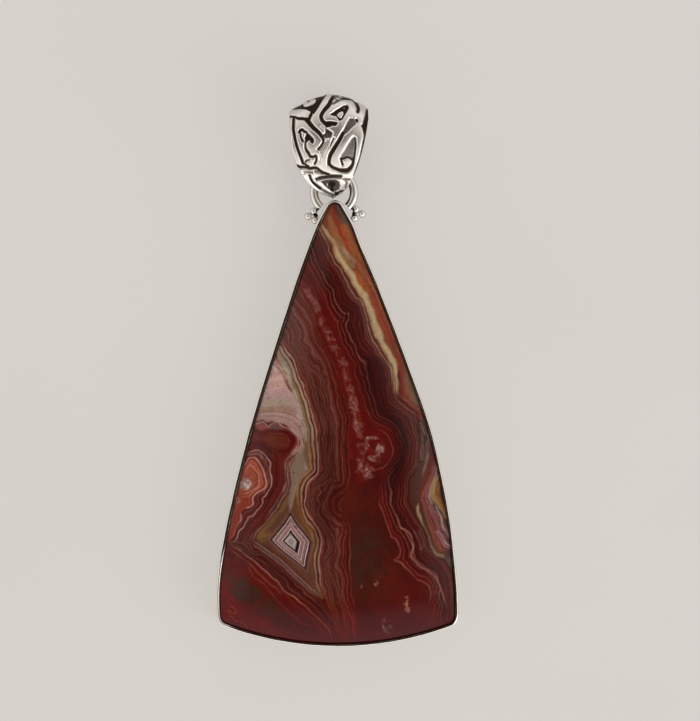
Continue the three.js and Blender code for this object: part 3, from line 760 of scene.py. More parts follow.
SPINE = [(292, 268), (301, 282), (310, 297), (321, 318), (328, 336), (337, 353), (344, 370), (349, 388),
         (355, 404), (359, 420), (360, 436), (362, 452), (361, 470), (360, 494)]
stroke(SPINE, (4, 6, 7, 8, 9, 9, 6), "#531309", soft=4, ends=0.08, amount=0.85)
stroke(SPINE, (2, 2, 3, 4, 4, 4, 3), "#61170c", soft=3, amount=0.5)
stroke(SPINE, (4, 4, 3, 4, 4, 5, 4), "#7d4a42", soft=3, amount=0.12)
for k, (at, sizes, strength) in enumerate([
        ((307, 289), (12, 4), 0.4), ((316, 306), (12, 4), 0.35), ((323, 322), (12, 4), 0.35),
        ((332, 340), (14, 5), 0.45), ((342, 362), (15, 5), 0.45), ((349, 386), (14, 5), 0.6),
        ((354, 405), (14, 5.5), 0.7), ((358, 425), (14, 4.5), 0.6), ((362, 447), (15, 4), 0.55),
        ((365, 468), (12, 5), 0.65)]):
    crystals(at, sizes, "#946459", 30 + k, turned=64 + 2 * k, amount=strength, size=1.3)
tell("spine")

# %% [markdown]
# ## The warm bands and the cream band
#
# Iron oxide with water in it stains the outer layers yellow, orange and brown. These bands are broad and
# soft, so each is a stroke whose width changes on its way. The cream band is chalcedony almost without
# iron, the brightest thing in the right half, and it keeps two thin lines of its own growth beside it.

# %% The apex and the warm bands down the right edge
field([(331, 196), (315, 214), (318, 230), (329, 244), (338, 260), (350, 272), (362, 293), (374, 318),
       (386, 345), (395, 362), (402, 380), (405, 398), (418, 410), (434, 440), (444, 440), (430, 400),
       (412, 345), (385, 270), (360, 222), (344, 200)], "#6f3820", 1.2)
stroke(RIGHT_EDGE, (3, 3, 3, 4, 5, 5, 6, 6), "#703424", 2.5)
stroke([(328, 212), (330, 222), (337, 238), (344, 252), (351, 262)], (2, 3.5, 3.5, 2), "#8d5535", 2)
stroke([(335, 236), (341, 249), (348, 260), (355, 269)], (1.5, 2.5, 2), "#7a5a40", 1.5, 0.9)
stroke([(342, 245), (348, 254), (356, 263)], (1, 2.2, 1.5), "#8f7460", 1.5, 0.8)
stroke([(337, 202), (340, 210), (345, 220), (350, 230)], (4, 4.5, 3.5, 1.5), "#50463d", 2)
stroke([(333, 203), (336, 210), (341, 219)], (1.5, 2, 1), "#5a2418", 1.2)
stroke([(341, 222), (347, 236), (354, 250), (360, 262)], (3.5, 4.5, 4, 2), "#8a4c26", 2.5)
stroke([(339, 228), (344, 238), (350, 248)], (1.5, 3, 1.5), "#94401b", 1.6)
stroke([(331, 206), (334, 216), (337, 225), (340, 234), (345, 241), (349, 249), (352, 255)],
       (1.6, 1.4, 1.4, 1.2), "#822f19", 0.9)
stroke([(353, 270), (359, 279), (366, 288), (371, 296)], (2, 4, 3.5, 1.5), "#8a431e", 2)
stroke([(354, 259), (361, 268), (368, 280), (376, 296), (383, 312)], (1.2, 1.8, 1.6, 1.2), "#84482e", 1.4)
for dx, code, half in [(0, "#9a4a24", 0.8), (2.6, "#6a2a17", 0.7), (5.0, "#8f5a3c", 0.6)]:
    stroke([(360 + dx, 274), (366 + dx, 285), (373 + dx, 299), (379 + dx, 313), (384 + dx, 326),
            (390 + dx, 340)], half, code, 0.9, 0.7, ends=0.2)
stroke([(368, 288), (375, 302), (381, 318), (387, 333), (393, 348)], (2, 3.2, 3.4, 2.6), "#7b3020", 2)
stroke([(385, 330), (392, 346), (398, 361), (402, 374), (402, 386), (404, 396), (411, 404), (420, 413),
        (428, 428)], (1.5, 2, 2.2, 2, 1.8), "#712a20", 1.3)
stroke([(404, 365), (409, 376), (411, 388), (416, 400), (424, 412)], (2, 5, 6, 4, 2), "#6a4a36", 2.5, 0.9)
stroke([(409, 372), (413, 384), (418, 396)], (2, 3, 2), "#5a4a34", 2, 0.8)
for shift, code, amount in [(0, "#855533", 0.75), (2.6, "#5a2516", 0.7), (4.6, "#8c5233", 0.6),
                            (7.4, "#662b1a", 0.6), (9.8, "#84432c", 0.6)]:
    stroke(RIGHT_EDGE[1:8], 0.5, code, 0.8, amount, shift=shift, ends=0.15)
lines([(397, 400), (405, 406), (414, 412), (422, 420), (428, 432)],
      [(0, 0.56, "#8a5148"), (-3, 0.56, "#4a1c16"), (3, 0.56, "#4a1f18"), (-6, 0.56, "#7a443c")], 0.8, 0.7)
tell("apex and the warm bands down the right edge")

# %% The cream band and its thin lines
CREAM = [(310, 211), (316, 219), (322, 228), *CREAM_RIGHT[2:]]
stroke(CREAM, (0.8, 1.6, 2.4, 3.0, 3.4, 3.7, 3.8, 3.7, 3.4, 3.2, 2.6, 1.4), "#967c5a", 1.5, ends=0.06)
stroke(CREAM, (0.5, 0.9, 1.6, 2, 2.2, 2, 1.2), "#a98f6d", 1.6, 0.8, shift=-0.5, ends=0.12)
stroke(CREAM_RIGHT, (0.37, 0.5, 0.43), "#876c4a", 0.7, 0.6, shift=1.6)
stroke(CREAM_LEFT[1:19], 0.59, "#93735d", 0.7, 0.9)
stroke(CREAM_LEFT[1:19], 0.53, "#553324", 0.7, 0.9, shift=-2.1)
stroke(CREAM_LEFT[1:19], 0.43, "#6d3f35", 0.7, 0.7, shift=2.8)
tell("cream band and its thin lines")

# %% [markdown]
# ## The pale wedge and the olive band
#
# At the left edge the layers are nearly white, and an olive and ochre band closes them off. A soft field is
# the ground. The layers are thin lines at fixed distances from one path, because layers of one growth keep
# their distance.

# %% The pale wedge on the left
field([(274, 360), (281, 371), (286, 381), (290, 389), (297, 401), (303, 416), (306, 430), (300, 440),
       (285, 424), (262, 420), (240, 428), (240, 400), (262, 360)], "#a58280", 1.0)
patch((276, 374), (12, 14), "#b28b81", 0.95, soft=0.4)
patch((272, 368), (5, 5), "#c0aaa4", 0.7, soft=0.5)
stroke([(255, 404), (268, 403), (282, 403), (296, 404)], 4, "#9a8574", 2.5, 0.9)
stroke([(256, 412), (272, 409), (286, 409), (299, 413)], 3, "#8a6c5a", 2.2, 0.9)
stroke([(261, 400), (265, 390), (270, 380)], 1.5, "#b9a09a", 1.5, 0.6)
for y, half, code in [(391, 0.5, "#c3a59c"), (386, 0.56, "#a67b75"), (381, 0.5, "#c0a098"),
                      (376.5, 0.56, "#a07670"), (372.5, 0.43, "#c2a59e")]:
    stroke([(263, y + 2), (270, y - 1), (278, y - 3), (286, y - 3.5), (291, y)], half, code, 0.7, 0.65,
           ends=0.15)
stroke([(272.5, 369), (273.5, 373)], 0.43, "#6b4742", 0.6, ends=0)
stroke([(272, 360), (281, 371), (286, 381), (290, 389)], (0.43, 0.56, 0.68, 0.37), "#6f4f4a", 0.6)
ARCH = [(248, 419), (258, 415.5), (270, 413), (280, 413.5), (290, 416), (297, 420), (303, 428), (305, 437),
        (304, 446), (299, 454), (292, 460), (289, 467), (291, 475), (290, 485), (287, 495)]
lines(ARCH, [(-2.0, 0.56, "#745447"), (0.2, 0.74, "#987a6f"), (2.2, 0.5, "#7d6055"), (4.2, 0.62, "#97786c"),
             (6.0, 0.43, "#6d4c43"), (7.6, 0.56, "#a0827a")], 0.7, ends=0.02)
stroke([(303, 442), (303.5, 450), (301, 458), (300, 466)], (2, 3, 3, 2), "#836c5c", 1.2)
tell("pale wedge on the left")

# %% The olive and ochre band beside it
OCHRE = [(276, 346), (284, 358), (290, 371), (296, 386), (302, 402), (307, 418), (309.5, 432), (311, 446),
         (312, 460), (307, 474), (300, 486), (298, 500), (301, 513), (308, 525), (314, 535), (315, 547),
         (312.5, 560), (314, 575), (319, 590), (324, 600)]
stroke(OCHRE[:9], (4, 5.5, 5.5, 5.2, 5, 5.4, 5.4, 6), "#7a684f", 1.3, ends=0.02)
stroke(OCHRE[5:], (5, 5.8, 6, 5, 4.6, 5.2, 5.6, 4, 1.2), "#64483a", 1.3, ends=0.02)
stroke(OCHRE[:4], (4, 5, 3), "#8f8474", 1.6, 0.9)
stroke(OCHRE[1:8], (1.5, 1.8, 1.6, 1.2), "#a1917c", 1.3, 0.8, shift=3.6)
stroke(OCHRE[1:8], (1.2, 1.5, 1.8, 1.6), "#a08c74", 1.2, 0.8, shift=-3.0)
stroke(OCHRE[2:8], (1, 1.6, 2, 1.6), "#6b5d42", 1.5, 0.85, shift=0.6)
stroke(OCHRE[6:], (1.4, 2.4, 2.6, 2.2, 2.4, 2.6, 1.8, 0.8), "#7d5630", 1.6, 0.9, shift=0.4)
stroke(OCHRE[8:], (0.5, 0.62, 0.5), "#8f6d45", 0.9, 0.7, shift=2.0)
lines(OCHRE_EDGE[2:24], [(-1.5, 0.5, "#a98a7c"), (0.4, 0.56, "#371511"), (2.3, 0.56, "#99705f"),
                         (4.2, 0.56, "#45190f"), (6.2, 0.5, "#8c5e53")], amount=0.85)
tell("olive and ochre band beside it")

# %% [markdown]
# ## The V and its diamond
#
# A hollow with sharp corners filled from its walls inwards, so it shows diamonds inside a diamond. One
# outline, laid smaller and smaller about its heart, gives all of them. Each is a whole field over the last,
# from the outside in, so no ring can gape.

# %% Inside the V, round the diamond
field([(289, 486), (296, 495), (297, 512), (303, 526), (312, 540), (312, 560), (315, 580), (322, 599),
       (308, 588), (290, 572), (268, 554), (257, 542), (263, 528), (275, 514), (284, 501)], "#59382b", 2.4)
stroke([(289, 486), (287, 497), (281, 508), (271, 520), (263, 529), (259, 538)], (1.5, 2.4, 3, 3, 3),
       "#6c4a31", 1.8)
stroke([(294, 500), (299, 517), (307, 531), (311, 545), (309, 562)], (2, 3, 3, 3), "#5f3c22", 2)
patch((263, 535), (7, 6), "#74502f", 0.85)
field([(300, 452), (306, 458), (307, 468), (301, 479), (296, 491), (292.5, 503), (290, 513), (288.5, 503),
       (289, 490), (291, 480), (290, 468), (294, 459)], "#786252", 1.6)
stroke([(299, 476), (295, 488), (292, 500), (290, 513)], (0.62, 0.8, 0.6), "#8c6f5e", 1.0, 0.8)
patch((305.5, 466), (1.3, 3), "#8a7674", 0.7)
stroke([(262, 543), (280, 557), (296, 572), (310, 585)], (2, 3, 3, 2), "#5a3028", 2)
lace(EYE_OUTER, [*V_OUTLINE[:12], (240, 542.5), (226, 544.5)], 6,
     ["#4a1a17", "#5a221c", "#4a1a16", "#5c2620", "#501c18"], "#74443e", 17, contrast=0.5)
lines(V_OUTLINE, [(1.4, 0.5, "#3d1c18"), (0, 0.56, "#77605c"), (-1.7, 0.5, "#4f3734"),
                  (-3.2, 0.5, "#7d645f"), (-4.8, 0.5, "#47271f"), (3.4, 0.43, "#69433d")])
tell("inside the V")

# %% The diamond: an eye cut across its sharp corners
HEART = np.array([291.5, 541.5])
TOP_PULL, CORE_SIZE, CORE_OFF = 0.8, 0.4, (-0.6, -0.4)
for size, code in [(1.30, "#684741"), (1.20, "#56352f"), (1.10, "#2a1816"), (1.02, "#c6afab"),
                   (0.96, "#4a2623"), (0.89, "#9c7d78"), (0.84, "#573230"), (0.79, "#bfa5a1"),
                   (0.73, "#643c3a"), (0.67, "#9d7a75"), (0.61, "#552a28"), (0.56, "#c8b1ae"),
                   (0.50, "#2b1112"), (0.34, "#a2918f"), (0.2, "#857775")]:
    ring = HEART + (np.array(DIAMOND) - HEART) * size
    ring[0] += (0, -TOP_PULL * size)
    if size < CORE_SIZE:
        ring += CORE_OFF
    field(ring, code, 0.35, wave=0.12)
tell("diamond")

# %% [markdown]
# ## The left eye and its lobe
#
# An eye is a round hollow cut through its middle: pale and dark rings, and a heart of grey crystals that
# closed last. Its rings are lumpy, so they follow two traced paths and not circles. The lobe over it is a
# smaller swelling of the same wall.

# %% The lobe above the left eye
field([*LOBE, (284, 462), (284, 475), (285, 483), (279, 498), (268, 514), (253, 534), (236, 546),
       (222, 546), (232, 480), (242, 440)], "#541c18", 1.0)
lace(EYE_OUTER[1:], [(250, 436), (262, 438), (272, 443), (280, 451), (283, 463), (283, 476), (283, 484),
                     (278, 497), (267, 512), (256, 525), (250, 536), (246, 548)], 5,
     ["#4a1512", "#5c231d", "#491512", "#5b241e", "#4f1914"], "#733c36", 23, contrast=0.5)
field([(246, 436), (254, 433), (266, 433), (274, 431), (284, 430), (293, 433), (295, 440), (292, 448),
       (284, 452), (274, 450), (266, 446), (256, 443), (246, 444)], "#4c1410", 1.6)
field([(264, 437), (270, 434), (280, 433.5), (288, 436), (290, 441), (288, 446), (281, 449), (274, 448),
       (268, 444)], "#60271d", 3.2)
stroke([(268, 434), (276, 432.8), (284, 433.5), (289, 437), (290, 443)], 0.37, "#7b4438", 0.6, 0.6)
patch((257, 438), (9, 5), "#6a322c", 0.7, soft=0.8)
BRIM = [(246, 424.5), (256, 421.5), (262, 420), (267.5, 422.5), (272, 420.5), (277, 419), (283, 422.5),
        (289, 425.5), (296, 431), (300, 440), (299, 448), (293, 455), (299, 452), (303, 444), (303.5, 436),
        (300, 427), (295, 421), (287, 417), (277, 415.5), (267, 416), (256, 418), (246, 420.5)]
field(BRIM, "#8f6d64", 0.8)
stroke([(246, 423), (256, 419.8), (264, 418.6), (275, 417.6), (285, 420), (294, 425.5), (300, 434),
        (301, 444)], 0.4, "#a98a82", 0.7, 0.8)
patch((261, 427.5), (6, 2.8), "#8a4a44", 0.9)
patch((277, 426.5), (6.5, 2.6), "#5c403c", 0.95)
lines(LOBE, [(0, 0.56, "#a3847b"), (1.8, 0.43, "#7b4440")])
tell("lobe above the left eye")

# %% The left eye
field([*EYE_OUTER, (215, 545), (225, 470), (232, 452)], "#4e1714", 0.9)
stroke([(246, 455), (253, 453.5), (259, 454.5), (264, 459)], (1, 1.6, 1.2), "#6d4b46", 1.0, 0.9)
lines(EYE_OUTER,
      [(0, 0.6, "#b08279"), (2.0, 0.43, "#3e120f"), (4.2, 0.37, "#7a443e"), (-2.0, 0.5, "#3f1613")])
stroke([(243, 452), (248, 454.5), (254, 452.5), (259, 453), (262, 457), (266, 459.5), (267, 464),
        (268.5, 468), (267.5, 473), (269.5, 478), (268, 484), (265, 489), (263, 493), (259, 496)], 0.42,
       "#8d655e", 0.6, 0.75)
field([*EYE_INNER, (215, 545), (230, 480)], "#7b301c", 0.9)
field([(240, 470), (246, 464), (253, 461), (259, 466), (262, 476), (261, 486), (254, 490), (246, 493),
       (238, 492)], "#8a3f2a", 2.0)
lines(EYE_INNER, [(0, 0.66, "#bb877d"), (2.0, 0.43, "#6a2318"), (3.8, 0.37, "#a3685b")])
stroke([(245, 471), (251, 465.5), (256, 470), (259, 478), (257.5, 486), (252, 490), (247, 493.5),
        (241, 494)], 0.5, "#c08a7e", 0.7, 0.8)
stroke([(250, 495), (247, 501), (243, 506), (238, 513), (236, 522), (232, 532), (230, 539)],
       (3, 3.5, 3, 2.5, 2), "#7c2c1b", 1.4, 0.9)
stroke([(236, 492), (235, 505), (232, 518), (229, 530), (226, 540)], (1.5, 1.2, 1), "#a06a5c", 1.0, 0.7)
patch((238, 500), (2.2, 3.2), "#b27c73", 0.8)
patch((238, 500), (1.0, 1.8), "#6a2a28", 0.9)
patch((246, 484), (6.5, 5), "#8a6c66", 0.9, soft=0.4)
crystals((246, 484.5), (7.5, 6), "#b5a5a0", 60, amount=0.9, size=1.9)
crystals((251, 471), (6, 7), "#9a4c38", 62, amount=0.6, size=1.9)
stroke([(241, 493), (247, 492), (253, 488), (257, 482), (257, 475), (253, 469)], 0.5, "#6b2419", 0.7, 0.8)
stroke([(240, 497), (248, 496), (256, 490), (260, 482), (259, 473)], 0.5, "#a4604f", 0.7, 0.7)
tell("left eye")

# %% [markdown]
# ## The foot and the right eye
#
# The foot is the oldest and reddest layer, with fine lace along its left side. The right eye is hardly
# more than a ring of quartz grains round red jasper, and darkens the ground about it first, as iron did in
# the stone, and gets its lines on top. The foot is darkened last and made less blue, to take off the
# reflection that the dome's low slope catches.

# %% The lower left lace
lace([(224, 540), (240, 541), *V_OUTLINE[11:], (333, 615), (343, 646)], LOW_LEFT_LINE, 5,
     ["#4b1f1b", "#471813", "#522320", "#481a15"], "#7b4b44", 29)
stroke(LOW_LEFT_LINE, (0.43, 0.56, 0.62, 0.56, 0.43, 0.37), "#96665d", 0.6, 0.9)
stroke([(228, 549), (237, 555), (245, 560), (252, 566), (258, 572), (264, 579), (270, 584), (277, 590),
        (284, 598)], 0.7, "#733f37", 0.6, 0.8)
stroke([(243, 562), (250, 569), (254, 576), (262, 583), (269, 590), (274, 597), (279, 602), (286, 607),
        (291, 612), (298, 617), (302, 623), (309, 624), (315, 630)], 0.43, "#733f37", 0.6, 0.8)
stroke([(270, 576), (277, 585), (285, 594), (294, 602), (303, 609), (312, 618), (320, 628), (327, 640)],
       0.43, "#6c3a34", 0.6, 0.7)
stroke([(227, 605), (233, 607), (236, 610), (234.5, 613), (229, 610), (233, 617), (236, 621), (243, 623),
        (248, 629), (244, 630)], 0.37, "#8f5c50", 0.5, 0.9)
tell("lower left lace")

# %% Darker ground round the spine, and the foot darkened against its reflection
stroke([(368, 350), (376, 380), (382, 405), (396, 428), (401, 450), (393, 474), (376, 494)],
       (8, 12, 12, 8, 8, 10, 12), "#200504", 6, 0.32)
stroke([(328, 425), (328, 455), (330, 490), (324, 520), (330, 545)], (8, 10, 12, 10, 8), "#260a07", 5, 0.26)
stroke([(381, 415), (391, 418), (400, 428), (404.5, 441), (403.5, 454), (397, 467), (391, 476)],
       (1, 2, 2.4, 2.4, 2, 1.2), "#260e0c", 1.4, 0.6)
stroke([(408, 414), (417, 422), (423, 433), (424.5, 446), (420, 459), (413, 470)], (1, 2, 2.6, 2.6, 2, 1.2),
       "#4a3633", 1.6, 0.5)
# The foot is painted darker and less blue towards the bottom, to take off the reflection that the dome's low
# slope catches.
FOOT_FROM, FOOT_TO, FOOT_SHEEN_OFFSET = 585, 625, np.array([0.04, 0.46, 0.78])
paint *= 1 - ease(FOOT_FROM, FOOT_TO, spot_y)[:, None] * FOOT_SHEEN_OFFSET
tell("redder foot")

# %% The right eye and the lines that run down from it
patch((373, 448), (17, 20), "#54130b", 0.9, soft=0.3)
for radius, code, amount in [(20.5, "#80504a", 0.75), (16, "#5f241c", 0.6), (12.5, "#6e342b", 0.5)]:
    ring = [(373 + radius * math.cos(a) * 0.95, 449 + radius * math.sin(a))
            for a in np.linspace(-1.5, 1.9, 9)]
    stroke(ring, 0.37, code, 0.6, amount)
for at, sizes, turned, k in [((372, 438.5), (8, 2.6), -5, 70), ((367, 445), (2.2, 7), 0, 71),
                             ((379, 450), (5, 9), 20, 72), ((374, 459), (7, 3), 15, 73)]:
    patch(at, (sizes[0] * 0.7, sizes[1] * 0.7), "#7a4a42", 0.5, soft=0.6, turned=turned)
    crystals(at, sizes, "#9d857e", k, turned=turned, amount=0.72, size=1.7)
crystals((360, 466), (5, 9), "#8b5d54", 76, amount=0.6, size=1.5)
crystals((369, 472), (6, 7), "#946b62", 78, amount=0.6, size=1.5)
patch((371, 451), (2.2, 3.4), "#6e210f", 0.6, soft=0.7)
stroke(SPINE_RIGHT[18:37], (0.31, 0.37, 0.5, 0.56, 0.43, 0.37), "#85544c", 0.6, 0.85)
stroke([(399, 517), (400, 525.5), (405, 528.5), (409, 533), (412, 541), (413, 548), (411, 556), (416, 561),
        (421, 566), (428, 571), (434, 576), (438, 580), (441, 588), (445, 600), (447, 612)],
       (0.7, 0.9, 0.9, 0.7, 0.5), "#8a5a52", 0.6, 0.9)
for dx in (0, 3.4):
    stroke([(413 + dx, 528), (417 + dx, 538), (420 + dx * 0.7, 545), (421, 551)], 0.5, "#6e4d4e", 0.7, 0.8)
tell("right eye and the lines that run down from it")

# %% [markdown]
# ## The bands at the right edge
#
# Here the layers bend round a corner and stand close together, so the eye counts them one by one. They are
# set as single strokes, from the broad brown ground to the thin pink and amber lines, with one tight piece
# of lace in the middle.

# %% The bands at the right edge
field([(418, 424), (420, 440), (419.5, 458), (415, 472), (409.5, 483), (410, 500), (417, 516), (425, 531),
       (430, 547), (440, 555), (452, 568), (464, 570), (455, 520), (445, 470), (430, 420)], "#452822", 1.6)
for shift, code, amount in [(1.5, "#6f4a42", 0.7), (4.2, "#2f1a17", 0.8), (6.8, "#69483f", 0.6),
                            (9.5, "#3a201b", 0.6)]:
    stroke(CREAM_LEFT[16:25], 0.5, code, 0.8, amount, shift=-shift)
lace(CREAM_LEFT[16:25], [(428, 420), (431, 434), (430, 448), (428, 460), (424, 472), (418, 484), (417, 496),
                         (420, 508), (424, 520)], 4, ["#42261f", "#5c433d", "#4a2d28", "#5e463f"],
     "#8a6b62", 51, contrast=0.7)
stroke([(417.5, 416), (418.8, 428), (419.3, 440), (419, 452), (417, 464)], (0.9, 1.2, 1.2, 0.9), "#381b17",
       1.3, 0.75)
stroke([(430, 446), (427, 458), (424, 468), (422, 480)], (0.8, 1.4, 1.0), "#755f4f", 1.8, 0.85, ends=0.3)
stroke([(431, 436), (433, 448), (431, 462), (427, 474), (422, 486), (420, 498), (424, 508)],
       (1.4, 2, 2.2, 2, 1.6, 1), "#5a231c", 1.6)
stroke([(437, 456), (434, 466), (431, 475), (428, 484), (427, 494), (427.5, 501)], (1.6, 1.4, 1.0),
       "#651c1b", 0.9)
stroke([(437.5, 464), (435.5, 473), (432.5, 481), (430.3, 489), (429.8, 498), (434, 506)], (0.6, 0.9, 0.7),
       "#a2807a", 0.7, 0.95)
stroke([(439, 472), (434, 483), (433, 494), (437, 502), (443, 511), (448, 522)], (1.6, 2.2, 2.4, 2, 1.4),
       "#8a6b49", 1.1)
stroke([(440.5, 478), (437.5, 486), (437, 496), (441, 504), (446, 513), (449, 523)], (1.2, 1.9, 1.8, 1.4),
       "#7b481a", 1.0)
stroke([(443, 486), (446, 497), (448, 508), (450, 518)], (1.5, 2.4, 2, 1.4), "#655a4c", 1.1)
lace([(434.5, 454), (431, 468), (427, 480), (422.5, 490), (420, 500), (421.5, 508), (425, 517), (429, 528),
      (432, 540), (436, 548), (446, 555)],
     [(437.5, 458), (436, 470), (433, 481), (430, 490), (429.5, 499), (434, 507), (440, 514), (445, 522),
      (448.5, 531), (452, 539), (458, 545)], 6,
     ["#5e2c1e", "#713827", "#5c2724", "#66383a", "#4f2b2f", "#6e4544"], "#a8776e", 53, contrast=0.85,
     edge=0.8)
stroke([(434, 503), (438, 511), (442, 521), (445, 530), (450, 538)], (0.37, 0.62, 0.74, 0.62), "#a08672",
       0.8, 0.9)
stroke([(441, 527), (443.5, 534), (447, 540), (451, 543.5)], 0.37, "#3c211f", 0.6, 0.9)
lines([(438, 528), (440.5, 535), (444, 541), (448, 544.5), (452, 547)],
      [(0, 0.42, "#bba19d"), (1.3, 0.42, "#6b4544"), (2.5, 0.42, "#9a7873")])
stroke([(448, 522), (450, 531), (452, 540)], (1.2, 1.8, 1.2), "#7b6a66", 1.0)
stroke([(417.6, 500), (417.4, 508), (419, 515), (422, 522), (425, 530)], (0.4, 1.2, 1.5, 0.8, 0.4),
       "#947a5a", 1.0, 0.95, ends=0.25)
stroke([(421, 517), (425, 527), (428.5, 537), (431, 546)], (0.6, 0.5, 0.6), "#7e5c46", 0.8, 0.85)
stroke([(429, 541), (431, 547), (435.5, 552), (441.8, 556), (448, 560)], (0.5, 1.2, 1.9, 1.9, 1.0),
       "#857050", 1.4, 0.9, ends=0.25)
stroke([(444, 556), (449, 561), (455, 567)], (1.4, 2.4, 2), "#4b3b31", 1.2)
for x, y, size in [(362, 585, 1.2), (377, 583, 1.6), (404, 600, 2.4), (407, 608, 2.0), (406, 604, 1.2)]:
    crystals((x, y), (size * 1.6, size * 2.2), "#8a4f42", x, amount=0.9, size=1.6)
crystals((387.5, 626), (5.5, 9), "#75554f", 92, amount=0.75, size=1.4)
patch((388, 628), (2.6, 4.5), "#47190f", 0.7, soft=0.7)
tell("right bands")

# %% Small uneven patches over the whole stone: (strength, size in pixels, seed)
UNEVENNESS = [(0.035, 2.6, 90), (0.03, 1.4, 91), (0.05, 14, 92)]
paint *= 1 + sum(part * grain(spot_x, spot_y, size, seed) for part, size, seed in UNEVENNESS)[:, None]
print("lace painted on", len(spot), "points")

# %% [markdown]
# ## The painted stone
#
# A cut stone shows its colour from inside, under a clear polish that sends back a little of the studio's
# light. That light would lift the darkest paint, so it is taken off the colours before they go into the
# mesh. They are kept as a colour attribute, as fine as the mesh, and need no image.

# %% Make the stone and put the lace in its points
SHEEN, BLACKEST, BACK_GROUND = 0.006, 0.0015, "#4b1913"


def give(piece, name, values):
    """Stores one number for each point of a piece, for its material to read."""
    layer = piece.data.attributes.new(name, "FLOAT", "POINT")
    layer.data.foreach_set("value", np.asarray(values, np.float32))


stone = mesh_of("stone_cabochon", stone_points, faces, agate)
colours = np.ones((len(stone_points), 4), np.float32)
colours[:len(flat), :3] = np.maximum(linear(paint) - SHEEN, BLACKEST)
colours[len(flat):-1, :3] = colours[rim, :3]
colours[-1, :3] = linear(BACK_GROUND)
layer = stone.data.color_attributes.new("lace", "FLOAT_COLOR", "POINT")
layer.data.foreach_set("color", colours.ravel())
give(stone, "sugar", np.concatenate([sugar, np.zeros(len(stone_points) - len(flat))]))
print("stone carries", len(flat), "painted points")

# %% [markdown]
# ## The bezel
#
# A bezel is a strip of fine silver on edge, soldered to the plate, whose top is rubbed over the stone with
# a burnisher until it grips. The tool leaves the outer corner bright. Beside the stone the lip is coloured
# dark, with a lighter line in it that is a painted highlight, and less dark at the lower left corner. A short
# section swept round the outline gives that shape, with small seeded waves where the tool slipped.

# %% Sweep the bezel
# Its section, from the outer foot up and over to the stone: (reach inwards, share of the height, darkness)
BEZEL_HEIGHT, BEZEL_FOOT, BEZEL_WALL = 4.4, 0.64, 0.32
# Less darkness at reach 0.325 and 0.36 paints a highlight line on the lip beside the stone.
SECTION = [(0.0, 0.0, 0.35), (0.0, 0.35, 0.1), (0.0, 0.85, 0.0), (0.02, 0.95, 0.0), (0.06, 0.976, 0.0),
           (0.11, 0.989, 0.0), (0.16, 0.996, 0.05), (0.195, 1.0, 0.75), (0.235, 1.0, 1.0),
           (0.29, 0.997, 1.0), (0.325, 0.993, 0.68), (0.36, 0.988, 0.65), (0.39, 0.98, 0.97),
           (0.43, 0.955, 0.97), (0.42, 0.935, 1.0), (0.36, 0.9, 1.0), (BEZEL_WALL, 0.86, 1.0),
           (BEZEL_WALL, 0.0, 1.0)]
# The lip is wider at the apex, and all that lies inside it is wider still on the left side.
LIP, LIP_AT_APEX, LIP_LIMIT, LIP_LEFT = 0.18, 0.28, 0.43, 0.17
ROLLED = 0.87
SLIP_ON_LIP, SLIP_INSIDE = 0.02, 0.014


def swept(rings):
    """Points and faces of rings joined one to the next and the last to the first, each ring running round."""
    count, size = rings.shape[:2]
    faces = []
    for r in range(count):
        a, b = r * size, (r + 1) % count * size
        faces += [(a + i, a + (i + 1) % size, b + (i + 1) % size, b + i) for i in range(size)]
    return rings.reshape(-1, 3), faces


way = np.arange(len(OUTLINE)) * OUTLINE_STEP
slip = 0.6 * grain(way, 0 * way, 1.7, 5) + 0.4 * grain(way, 0 * way, 0.6, 6)
lip = LIP + (LIP_AT_APEX - LIP) * ease(11, 18, OUTLINE[:, 1]) + SLIP_ON_LIP * slip
limit = LIP_LIMIT + LIP_LEFT * ease(0.5, 3, -OUTLINE[:, 0]) * ease(-26, -21, OUTLINE[:, 1])
# The dark along the seam is lighter at the lower left corner.
low_left_lighter = 0.45 * ease(12.5, 14, -OUTLINE[:, 0]) * (1 - ease(-25, -21, OUTLINE[:, 1]))
columns, clean = [], []
for reach, height, dark in SECTION:
    moved = np.where(reach <= LIP, reach * lip / LIP, lip + (reach - LIP) * (limit - lip) / (LIP_LIMIT - LIP))
    offset = moved if height > ROLLED else reach + 0 * lip
    inside_lip = reach < LIP_LIMIT and height > ROLLED
    wave = SLIP_INSIDE * slip * ease(0.05, 0.2, reach) if inside_lip else 0 * slip
    line = inset(OUTLINE, (offset + wave)[:, None])
    columns.append(at_height(line, BEZEL_FOOT + (BEZEL_HEIGHT - BEZEL_FOOT) * height))
    clean.append(1 - dark * (0.88 + 0.12 * slip) * (1 - low_left_lighter))
bezel_points, bezel_faces = swept(np.stack(columns, 1))
bezel = mesh_of("bezel_strip", bezel_points, bezel_faces, burnished)
give(bezel, "clean", np.stack(clean, 1).ravel())
print("bezel triangles", 2 * len(bezel_faces))

# %% The back plate, with a soft edge and the solder line under the bezel
# Its section, from the back up to the bezel: (reach inwards, height)
PLATE_SECTION = [(0.35, 0.0), (0.08, 0.0), (0.02, 0.03), (0.0, 0.1), (0.0, 0.5), (0.02, 0.57), (0.07, 0.6),
                 (0.35, 0.6)]
plate_points, plate_faces = swept(np.stack([at_height(inset(OUTLINE, r), z) for r, z in PLATE_SECTION], 1))
# A flat back and top take the place of the strip that would close each section.
size, count = len(PLATE_SECTION), len(OUTLINE)
plate_faces = [face for face in plate_faces if face[0] % size != size - 1]
plate_faces += [[i * size for i in range(count)], [i * size + size - 1 for i in range(count)][::-1]]
plate = mesh_of("plate_sheet", plate_points, plate_faces, satin)
print("plate faces", len(plate_faces))

